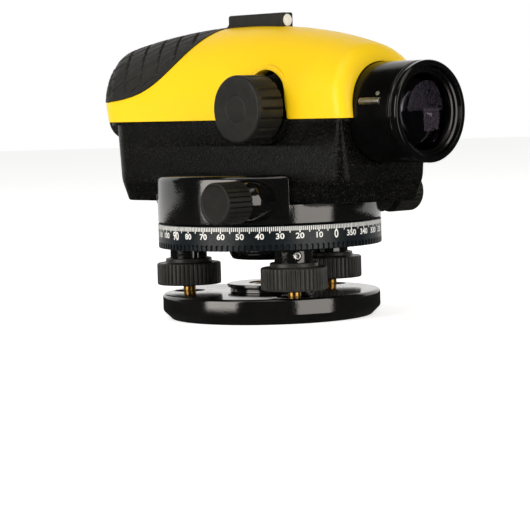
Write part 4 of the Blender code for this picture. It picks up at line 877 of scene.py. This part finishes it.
# the cross product of the grid's two directions, turned away from a point inside the cover
def outwardNormals(grid):
    along = np.gradient(grid, axis=0)
    around = np.gradient(grid, axis=1)
    normal = np.cross(around, along)
    length = np.linalg.norm(normal, axis=-1, keepdims=True)
    normal = normal / np.clip(length, 1e-9, None)
    inside = np.array([-5.0, 0.0, 95.0])
    outward = grid - inside
    flip = np.sign((normal * outward).sum(-1, keepdims=True))
    return normal * np.where(flip == 0, 1, flip)


def skin(name, outer, inner):
    rows, columns = outer.shape[:2]
    count = rows * columns
    faces = gridFaces(rows, columns, False, False)
    rim = []
    for column in (0, columns - 1):
        for row in range(rows - 1):
            here = row * columns + column
            there = here + columns
            rim.append([here, there, there + count, here + count])
    points = np.concatenate([outer.reshape(-1, 3), inner.reshape(-1, 3)]) * mm
    allFaces = faces.tolist() + (faces[:, ::-1] + count).tolist() + rim
    return meshObject(name, points, allFaces)


# the grip's front edge in side view: a cubic curve, moved square to itself by the clearance
def gripEdge(clearance=0.0, steps=40):
    start = np.array([-101.0, 97.2])
    bend = np.array([-50.0, 96.6])
    rise = np.array([-42.5, 104.0])
    end = np.array([-20.0, 131.1])
    t = np.linspace(0, 1, steps)[:, None]
    curve = start * (1 - t) ** 3 + 3 * bend * t * (1 - t) ** 2 + 3 * rise * t * t * (1 - t) + end * t ** 3
    slope = np.gradient(curve, axis=0)
    slope /= np.linalg.norm(slope, axis=1, keepdims=True)
    return curve + np.stack([slope[:, 1], -slope[:, 0]], axis=1) * clearance


def gripRegion(name, clearance):
    edge = gripEdge(clearance)
    above = 145.0
    outline = [*edge, (edge[-1, 0], above), (edge[0, 0], above)]
    return prism(name, inMm(outline), -60 * mm, 60 * mm)


def makeCover():
    size = coverSize
    grid = coverGrid(54, 61)
    shell = applySolidify("topCover", grid, size["wall"])
    pocket = applySolidify("gripPocket", coverGrid(40, 41), 1.1, 3.0)
    cut(pocket, [gripRegion("pocketRegion", 0.3)], "INTERSECT")
    cut(shell, [pocket])
    # arched notch for the focusing knob, with a lip that stands inside the cover
    middle, flare = (27.5, 97.3), 14.0
    notch = arcPoints(middle, 12.2, 0, 180, 40) + [(middle[0] - flare, 85.9), (middle[0] + flare, 85.9)]
    lip = arcPoints(middle, 14.2, 0, 180, 40) + [(middle[0] - flare - 2, 88.4), (middle[0] + flare + 2, 88.4)]
    cut(shell, [prism("notchLip", inMm(lip), -26 * mm, -19.5 * mm)], "UNION")
    cut(shell, [prism("knobNotch", inMm(notch), -37 * mm, -17 * mm)])
    cut(shell, [axialTool("coverFront", bodySize["objective"], 60, 95),
                axialTool("coverRear", bodySize["eyepiece"], -105, -75)])
    addBevel(shell, 0.35 * mm, 2, 50.0)
    applied(shell)
    shade(shell, 34.0)
    finishPiece(shell, "cover", "alidade", ["top_cover"])


def applySolidify(name, grid, inwards, outwards=0.0):
    obj = meshObject(name, grid.reshape(-1, 3) * mm, gridFaces(*grid.shape[:2], False, False))
    top = max(obj.data.polygons, key=lambda face: face.center.z)
    if top.normal.z < 0:
        obj.data.flip_normals()
    solidify = obj.modifiers.new("wall", "SOLIDIFY")
    solidify.thickness = (inwards + outwards) * mm
    solidify.offset = (outwards - inwards) / (inwards + outwards)
    solidify.use_even_offset = True
    return applied(obj)


# depth of the grooves between the grip's pads: columns round the cover, swept back down its sides, and rows
# that climb from one column to the next; both stop short of the grip's front edge
def gripGrooves(grid):
    size = {"column": 11.0, "sweep": 0.7, "row": 6.6, "slope": 0.62, "stagger": 2.1, "half": 0.95,
            "depth": 0.8, "margin": 2.6}
    step = np.linalg.norm(np.diff(grid, axis=1), axis=-1)
    arc = np.concatenate([np.zeros((grid.shape[0], 1)), np.cumsum(step, axis=1)], axis=1)
    arc = np.minimum(arc, arc[:, -1:] - arc)
    column = (grid[..., 0] + size["sweep"] * (coverSize["half"] - np.abs(grid[..., 1]))) / size["column"]
    columnGap = np.abs(column - np.round(column)) * size["column"]
    cell = np.floor(column)
    row = (arc - size["slope"] * grid[..., 0] + size["stagger"] * cell) / size["row"]
    rowGap = np.abs(row - np.round(row)) * size["row"]
    edge = gripEdge()
    edgeZ = np.interp(grid[..., 0], edge[:, 0], edge[:, 1])
    slopeHere = np.gradient(edge[:, 1], edge[:, 0])
    steep = np.interp(grid[..., 0], edge[:, 0], slopeHere)
    inside = (grid[..., 2] - edgeZ) / np.sqrt(1 + steep ** 2)
    mask = smoothStep(size["margin"] - 0.8, size["margin"], inside)
    columns = 1 - smoothStep(0.25, size["half"], columnGap)
    rows = 0.8 * (1 - smoothStep(0.2, size["half"] * 0.85, rowGap))
    groove = np.maximum(columns, rows)
    return size["depth"] * groove * mask


def makeGrip():
    size = {"front": -12.0, "proud": 0.4, "under": 0.8}
    base = coverGrid(330, 300, bandRows=4)
    keep = base[:, base.shape[1] // 2, 0] < size["front"]
    base = base[keep]
    normal = outwardNormals(base)
    outer = base + normal * (size["proud"] - gripGrooves(base))[..., None]
    inner = base - normal * size["under"]
    grip = skinClosed("rearGrip", outer, inner)
    cut(grip, [gripRegion("gripRegion", 0.0)], "INTERSECT")
    cut(grip, [axialTool("gripRear", bodySize["eyepiece"], -105, -75)])
    shade(grip, 40.0)
    finishPiece(grip, "gripRubber", "alidade", ["rear_grip"])


def skinClosed(name, outer, inner):
    obj = skin(name, outer, inner)
    cage = bmesh.new()
    cage.from_mesh(obj.data)
    openEdges = [edge for edge in cage.edges if edge.is_boundary]
    if len(openEdges) > 2:
        bmesh.ops.bridge_loops(cage, edges=openEdges)
    bmesh.ops.recalc_face_normals(cage, faces=cage.faces)
    cage.to_mesh(obj.data)
    cage.free()
    return obj


makeCover()
makeGrip()
print("cover and grip done")


# sight, objective, focus knob, eyepiece, bubble

def makeSight():
    size = {"root": 122.0, "round": 2.4, "half": 3.3, "baseTop": 129.9, "baseHalf": 3.6,
            "tube": 2.9, "window": 2.75}
    low, high = boxOf("sight_body")
    rear, front = low.x / mm, high.x / mm
    top = high.z / mm
    root, bend = size["root"], size["round"]
    outline = [(rear, root), (rear, top - bend)] + arcPoints((rear + bend, top - bend), bend, 180, 90, 8)[1:]
    outline += [(front - 0.5, top), (front, top - 0.5), (front, root)]
    body = prism("peepSight", inMm(outline), -size["half"] * mm, size["half"] * mm)
    addBevel(body, 1.5 * mm, 4, 60.0)
    applied(body)
    shelf = size["baseTop"]
    outline = [(rear - 0.1, root), (rear - 0.1, shelf), (front - 3, shelf), (front - 3, root)]
    base = prism("sightBase", inMm(outline), -size["baseHalf"] * mm, size["baseHalf"] * mm)
    cut(body, [base], "UNION")
    under = applySolidify("sightUnder", coverGrid(40, 61), 20.0, 0.15)
    cut(body, [under])
    cut(body, [gripRegion("sightRoom", 0.3)])
    at = (0, 0, centreOf("sight_window").z)
    outline = [(0, front + 1), (size["tube"], front + 1), (size["tube"], front - 5), (0, front - 5)]
    cut(body, [revolve("sightTubeCut", inMm(outline), at, "X", steps=48)])
    shade(body)
    finishPiece(body, "gripRubber", "alidade", ["sight_body"])
    outline = [(0, front - 0.1, 0), (size["window"], front - 0.1, 0.5), (size["window"], front - 4.8, 0),
               (0, front - 4.8, 0)]
    window = revolve("sightWindow", inMm(outline), at, "X", steps=48)
    finishPiece(window, "sightWhite", "alidade", ["sight_window"])


def makeObjective():
    size = {"outer": 21.4, "bore": 17.8, "rear": 58.0, "rearBore": 15.6, "step": 85.5,
            "lens": 16.9, "bulge": 2.4}
    front = boxOf("objective_rim")[1].x / mm
    at = (0, 0, bodySize["axis"] * mm)
    outer, bore, rear = size["outer"], size["bore"], size["rear"]
    tubeOutline = [(bore, front - 4.9, 0.1), (outer, front - 4.9, 0.35), (outer, rear, 0.3),
                   (size["rearBore"], rear, 0), (size["rearBore"], size["step"], 0), (bore, size["step"], 0)]
    tube = revolve("objectiveTube", inMm(tubeOutline), at, "X", steps=160, closed=True)
    finishPiece(tube, "tubeAnodised", "alidade", ["objective_tube"])
    # the rim has a turned groove round it and steps down to the lens inside
    rimOutline = [(18.9, front, 0.15), (20.9, front, 0.3), (outer, front - 0.7, 0.3),
                  (outer, front - 2.9, 0.25), (20.9, front - 3.2, 0.1), (20.9, front - 3.7, 0.1),
                  (outer, front - 4.0, 0.2), (outer, front - 4.6, 0.2), (16.2, front - 4.6, 0.1),
                  (16.2, front - 3.6, 0.2),
                  (17.2, front - 3.4, 0.15), (17.4, front - 2.2, 0.15), (18.3, front - 1.9, 0.15)]
    rim = revolve("objectiveRim", inMm(rimOutline), at, "X", steps=160, closed=True)
    finishPiece(rim, "anodised", "alidade", ["objective_rim"])
    lensX = centreOf("objective_lens").x / mm
    # both faces of the lens are parabolas
    bulge = [(r, lensX + 1.2 + size["bulge"] * (1 - (r / size["lens"]) ** 2), 0)
             for r in np.linspace(0, size["lens"], 14)]
    back = [(r, lensX - 1.2 - size["bulge"] * (1 - (r / size["lens"]) ** 2), 0)
            for r in np.linspace(size["lens"], 0, 14)]
    lens = revolve("objectiveLens", inMm(bulge + back), at, "X", steps=96)
    finishPiece(lens, "lens", "alidade", ["objective_lens"])
    makeGuidePin(at)


# small pin with a neck, let into the side of the tube, and the screw beside it
def makeGuidePin(at):
    size = {"rear": 79.0, "front": 90.2, "angle": 167.0, "radius": 21.2, "pin": 1.6, "neck": 1.2,
            "screwX": 88.3, "screwAngle": 158.5, "screwRadius": 21.3}
    lean = math.radians(size["angle"])
    reach = size["radius"] * mm
    place = (size["rear"] * mm, reach * math.cos(lean), at[2] + reach * math.sin(lean))
    length = size["front"] - size["rear"]
    radius, neck = size["pin"], size["neck"]
    outline = [(0, length, 0), (radius, length, 0.25), (radius, 0.9, 0.1), (neck, 0.8, 0.05),
               (neck, 0.5, 0.05), (radius, 0.4, 0.1), (radius, 0, 0.2), (0, 0, 0)]
    pin = revolve("guidePin", inMm(outline), place, "X", steps=40)
    finishPiece(pin, "nickel", "alidade")
    lean = math.radians(size["screwAngle"])
    outward = Vector((0, math.cos(lean), math.sin(lean)))
    start = Vector((size["screwX"] * mm, 0, at[2])) + outward * size["screwRadius"] * mm
    outline = [(0, 0.35), (0.35, 0.35, 0.05), (0.35, 0.8, 0.1), (1.0, 0.8, 0.3), (1.0, -0.3, 0), (0, -0.3)]
    screw = revolve("guideScrew", inMm(outline), steps=32)
    alongRay(screw, start, outward)
    finishPiece(screw, "nickel", "alidade")


def makeFocusKnob():
    size = {"radius": 14.45, "ribs": 20, "ribDepth": 0.95, "bore": 3.3, "boreDeep": 4.0}
    low, high = boxOf("focus_knob")
    centre = centreOf("focus_knob")
    face, back = abs(low.y) / mm, abs(high.y) / mm
    radius, bore, deep = size["radius"], size["bore"], face - size["boreDeep"]
    at = (centre.x, 0.0, centre.z)
    # a ring is pressed into the face round its middle
    outline = [(0, face - 0.1, 0), (5.3, face - 0.1, 0.3), (5.6, face - 0.2, 0.2), (6.0, face - 0.2, 0.2),
               (6.3, face - 0.08, 0.3), (radius, face, 1.4), (radius, face - 2.4, 0), (radius, face - 3.0, 0),
               (radius, face - 3.8, 0), (radius, back + 1.6, 0), (radius, back, 1.0), (bore, back, 0.2),
               (bore, deep, 0), (0, deep, 0)]
    ribs = flutes(size["ribs"], size["ribDepth"] * mm, (back - 1) * mm, (face - 1.4) * mm, 2.2 * mm, 0.5, 0.8)

    def sideOnly(turn, height, radius):
        return ribs(turn, height, radius) * (radius > (size["radius"] - 0.85) * mm)
    knob = revolve("focusKnob", inMm(outline), at, "-Y", steps=size["ribs"] * 18, ribs=sideOnly, smooth=40.0)
    finishPiece(knob, "knobRubber", "focus_drive", ["focus_knob"])


def makeEyepiece():
    size = {"outer": 10.0, "bore": 8.5, "eye": 5.4, "ribs": 30, "ribDepth": 0.5}
    low, high = boxOf("eyepiece_ring")
    rear, front = low.x / mm, high.x / mm
    at = (0, 0, bodySize["axis"] * mm)
    outer, bore, eye = size["outer"], size["bore"], size["eye"]
    outline = [(bore, front, 0.2), (outer, front, 0.5), (outer, rear + 6.6, 0), (outer, rear + 6.0, 0),
               (outer, rear + 1.8, 0), (outer, rear, 0.9), (eye, rear, 0.6), (eye, rear + 1, 0.2),
               (bore, rear + 2.5, 0)]
    ribs = flutes(size["ribs"], size["ribDepth"] * mm, (rear + 0.9) * mm, (front + 1) * mm,
                  0.8 * mm, 0.5, 0.8)

    def sideOnly(turn, height, radius):
        return ribs(turn, height, radius) * (radius > (size["outer"] - 0.6) * mm)
    ring = revolve("eyepieceRing", inMm(outline), at, "X", steps=size["ribs"] * 12, closed=True,
                   ribs=sideOnly, smooth=40.0)
    finishPiece(ring, "knobRubber", "eyepiece_ring", ["eyepiece_ring"])


def makeBubble():
    size = {"height": 8.5, "outer": 10.0, "bore": 7.8, "floor": 2.0, "vial": 7.4, "ring": 2.7,
            "armDrop": 3.0, "armHalf": 5.0, "armFrom": 27.1}
    centre = centreOf("bubble_vial")
    at = (centre.x, centre.y, 0)
    base = boxOf("bubble_housing")[0].z / mm + size["armDrop"]
    top = base + size["height"]
    floor = base + size["floor"]
    outline = [(size["bore"], top, 0.2), (size["outer"], top, 0.5), (size["outer"], base, 0.4), (0, base, 0),
               (0, floor, 0), (size["bore"], floor, 0)]
    housing = revolve("bubbleHousing", inMm(outline), at, steps=72, closed=True)
    half = size["armHalf"] * mm
    arm = boxPiece("bubbleArm", (centre.x - half, size["armFrom"] * mm, (base - size["armDrop"]) * mm),
                   (centre.x + half, centre.y, (base + 1) * mm), 0.6 * mm)
    applied(arm)
    cut(housing, [arm], "UNION")
    shade(housing)
    finishPiece(housing, "texturedPaint", "alidade", ["bubble_housing"])
    outline = [(0, top - 0.5, 0), (size["vial"], top - 0.9, 0.5), (size["vial"], floor + 0.3, 0.3),
               (0, floor + 0.3, 0)]
    vial = revolve("bubbleVial", inMm(outline), at, steps=64)
    finishPiece(vial, "vialGlass", "alidade", ["bubble_vial"])
    inner, outer = size["ring"], size["ring"] + 0.3
    outline = [(inner, top - 0.55, 0), (outer, top - 0.55, 0), (outer, top - 0.65, 0), (inner, top - 0.65, 0)]
    ring = revolve("bubbleRing", inMm(outline), at, steps=48, closed=True)
    finishPiece(ring, "redInk", "alidade")


makeSight()
makeObjective()
makeFocusKnob()
makeEyepiece()
makeBubble()
print("sight, optics and bubble done")


# parts that keep their own shape get their finish here

carriedOver = {
    "brass": ["thread_bush", "spindle_bearing", "worm_wheel", "reticle_cell", "pendulum"],
    "steelZ": ["spring_plate", "spring_screw_1", "spring_screw_2", "spring_screw_3", "vertical_spindle",
               "spindle_nut", "access_screw", "pendulum_flexure", "damper_magnet"],
    "steelY": ["worm_shaft", "focus_shaft"],
    "aluminium": ["focus_carriage", "eye_cell", "compensator_frame"],
    "opticalGlass": ["focus_lens", "eye_lens", "reticle_glass", "pendulum_prism"],
    "texturedPaint": ["focus_bearing"],
    "enamel": ["eyepiece_tube"],
    "ink": ["circle_index"],
}
for finish, names in carriedOver.items():
    for name in names:
        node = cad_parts[name]
        node.data.materials.clear()
        node.data.materials.append(paint[finish])
print("carried-over parts finished")


# floor, light and camera

viewSize = {"azimuth": 46.82, "elevation": 4.23, "roll": -1.59, "lens": 150.3, "distance": 0.99,
            "aim": (0.00139, -0.00495, 0.02295)}


# a sheet of pale paper: a path of (distance behind the object, height) carried across the view
def makeSweep(name, path, glow):
    size = {"half": 4.0}
    heading = math.radians(viewSize["azimuth"])
    away = np.array([-math.sin(heading), math.cos(heading)])
    across = np.array([math.cos(heading), math.sin(heading)])
    width = np.linspace(-size["half"], size["half"], 9)
    grid = np.array([[(*(away * r + across * w), z) for w in width] for r, z in path])
    sweep = meshObject(name, grid.reshape(-1, 3), gridFaces(*grid.shape[:2], False, False), 80.0)
    material = newMaterial("palePaper_" + name)
    setShader(material, {"Base Color": srgb("#F8F8F6"), "Roughness": 0.9, "Specular IOR Level": 0.1,
                         "Emission Color": srgb("#FFFFFF"), "Emission Strength": glow})
    sweep.data.materials.append(material)
    return sweep


# the floor is seen but not mirrored; the card behind the object is only mirrored, as light edges on the
# black parts
def makeStudio():
    size = {"rise": 0.9, "reach": 4.0, "split": 0.35, "far": 1.2, "lift": 0.002,
            "floorGlow": 0.62, "cardGlow": 0.55}
    path = [(r, 0.0) for r in np.linspace(-size["reach"], size["reach"], 20)]
    floor = makeSweep("floor", path, size["floorGlow"])
    floor.visible_glossy = False
    bend = np.radians(np.linspace(0, 90, 24))[1:]
    path = [(r, size["lift"]) for r in np.linspace(size["split"], size["far"], 12)]
    path += [(size["far"] + size["rise"] * math.sin(b), size["rise"] * (1 - math.cos(b))) for b in bend]
    path += [(size["far"] + size["rise"], size["rise"] + h) for h in (0.6, 1.4)]
    card = makeSweep("reflectedCard", path, size["cardGlow"])
    card.visible_camera = False
    card.visible_diffuse = False
    card.visible_shadow = False
    card.visible_transmission = False


# unit vector from the object towards a place given by its azimuth and elevation
def towards(azimuth, elevation):
    a, e = math.radians(azimuth), math.radians(elevation)
    return Vector((math.sin(a) * math.cos(e), -math.cos(a) * math.cos(e), math.sin(e)))


def addSoftbox(name, azimuth, elevation, size, power):
    light = bpy.data.lights.new(name, "AREA")
    light.shape = "RECTANGLE"
    light.size = size[0]
    light.size_y = size[1]
    light.energy = power
    light.color = srgb("#FFF9F2")[:3]
    holder = bpy.data.objects.new(name, light)
    distance, aim = 1.1, Vector((0.0, 0.0, 0.07))
    spot = towards(azimuth, elevation) * distance + aim
    turn = (aim - spot).to_track_quat("-Z", "Y").to_matrix().to_4x4()
    holder.matrix_world = Matrix.Translation(spot) @ turn
    holder.visible_camera = False
    bpy.context.scene.collection.objects.link(holder)


# white to the eye, mid grey as fill light, and dark in reflections so the black parts stay black
def makeWorld():
    size = {"fill": 0.32, "reflected": 0.03, "seen": 1.0}
    world = bpy.data.worlds.new("studio")
    bpy.context.scene.world = world
    world.use_nodes = True
    tree = world.node_tree
    background = tree.nodes["Background"]
    rays = tree.nodes.new("ShaderNodeLightPath")
    strength = size["fill"]
    for ray, value in (("Is Glossy Ray", size["reflected"]), ("Is Camera Ray", size["seen"])):
        pick = tree.nodes.new("ShaderNodeMix")
        pick.data_type = "FLOAT"
        tree.links.new(rays.outputs[ray], pick.inputs["Factor"])
        if isinstance(strength, float):
            pick.inputs["A"].default_value = strength
        else:
            tree.links.new(strength, pick.inputs["A"])
        pick.inputs["B"].default_value = value
        strength = pick.outputs["Result"]
    tree.links.new(strength, background.inputs["Strength"])
    background.inputs["Color"].default_value = (1, 1, 1, 1)


def makeLight():
    makeWorld()
    camera = viewSize["azimuth"]
    addSoftbox("leftSoftbox", camera - 54, 12, (0.72, 0.8), 9.0)
    addSoftbox("rightSoftbox", camera + 45, 7, (0.8, 1.05), 8.5)
    addSoftbox("topSoftbox", camera - 20, 68, (1.0, 0.8), 3.6)
    bpy.context.scene.view_settings.view_transform = "Standard"


def makeCamera():
    lens = bpy.data.cameras.new("mainCamera")
    lens.lens = viewSize["lens"]
    lens.sensor_width = 36.0
    lens.clip_start = 0.01
    camera = bpy.data.objects.new("mainCamera", lens)
    heading = math.radians(viewSize["azimuth"])
    back = towards(viewSize["azimuth"], viewSize["elevation"])
    level = Vector((math.cos(heading), math.sin(heading), 0.0))
    upright = back.cross(level)
    roll = math.radians(viewSize["roll"])
    right = level * math.cos(roll) + upright * math.sin(roll)
    up = upright * math.cos(roll) - level * math.sin(roll)
    turn = Matrix((right, up, back)).transposed()
    place = Vector(viewSize["aim"]) + back * viewSize["distance"]
    camera.matrix_world = Matrix.Translation(place) @ turn.to_4x4()
    bpy.context.scene.collection.objects.link(camera)
    bpy.context.scene.camera = camera


makeStudio()
makeLight()
makeCamera()
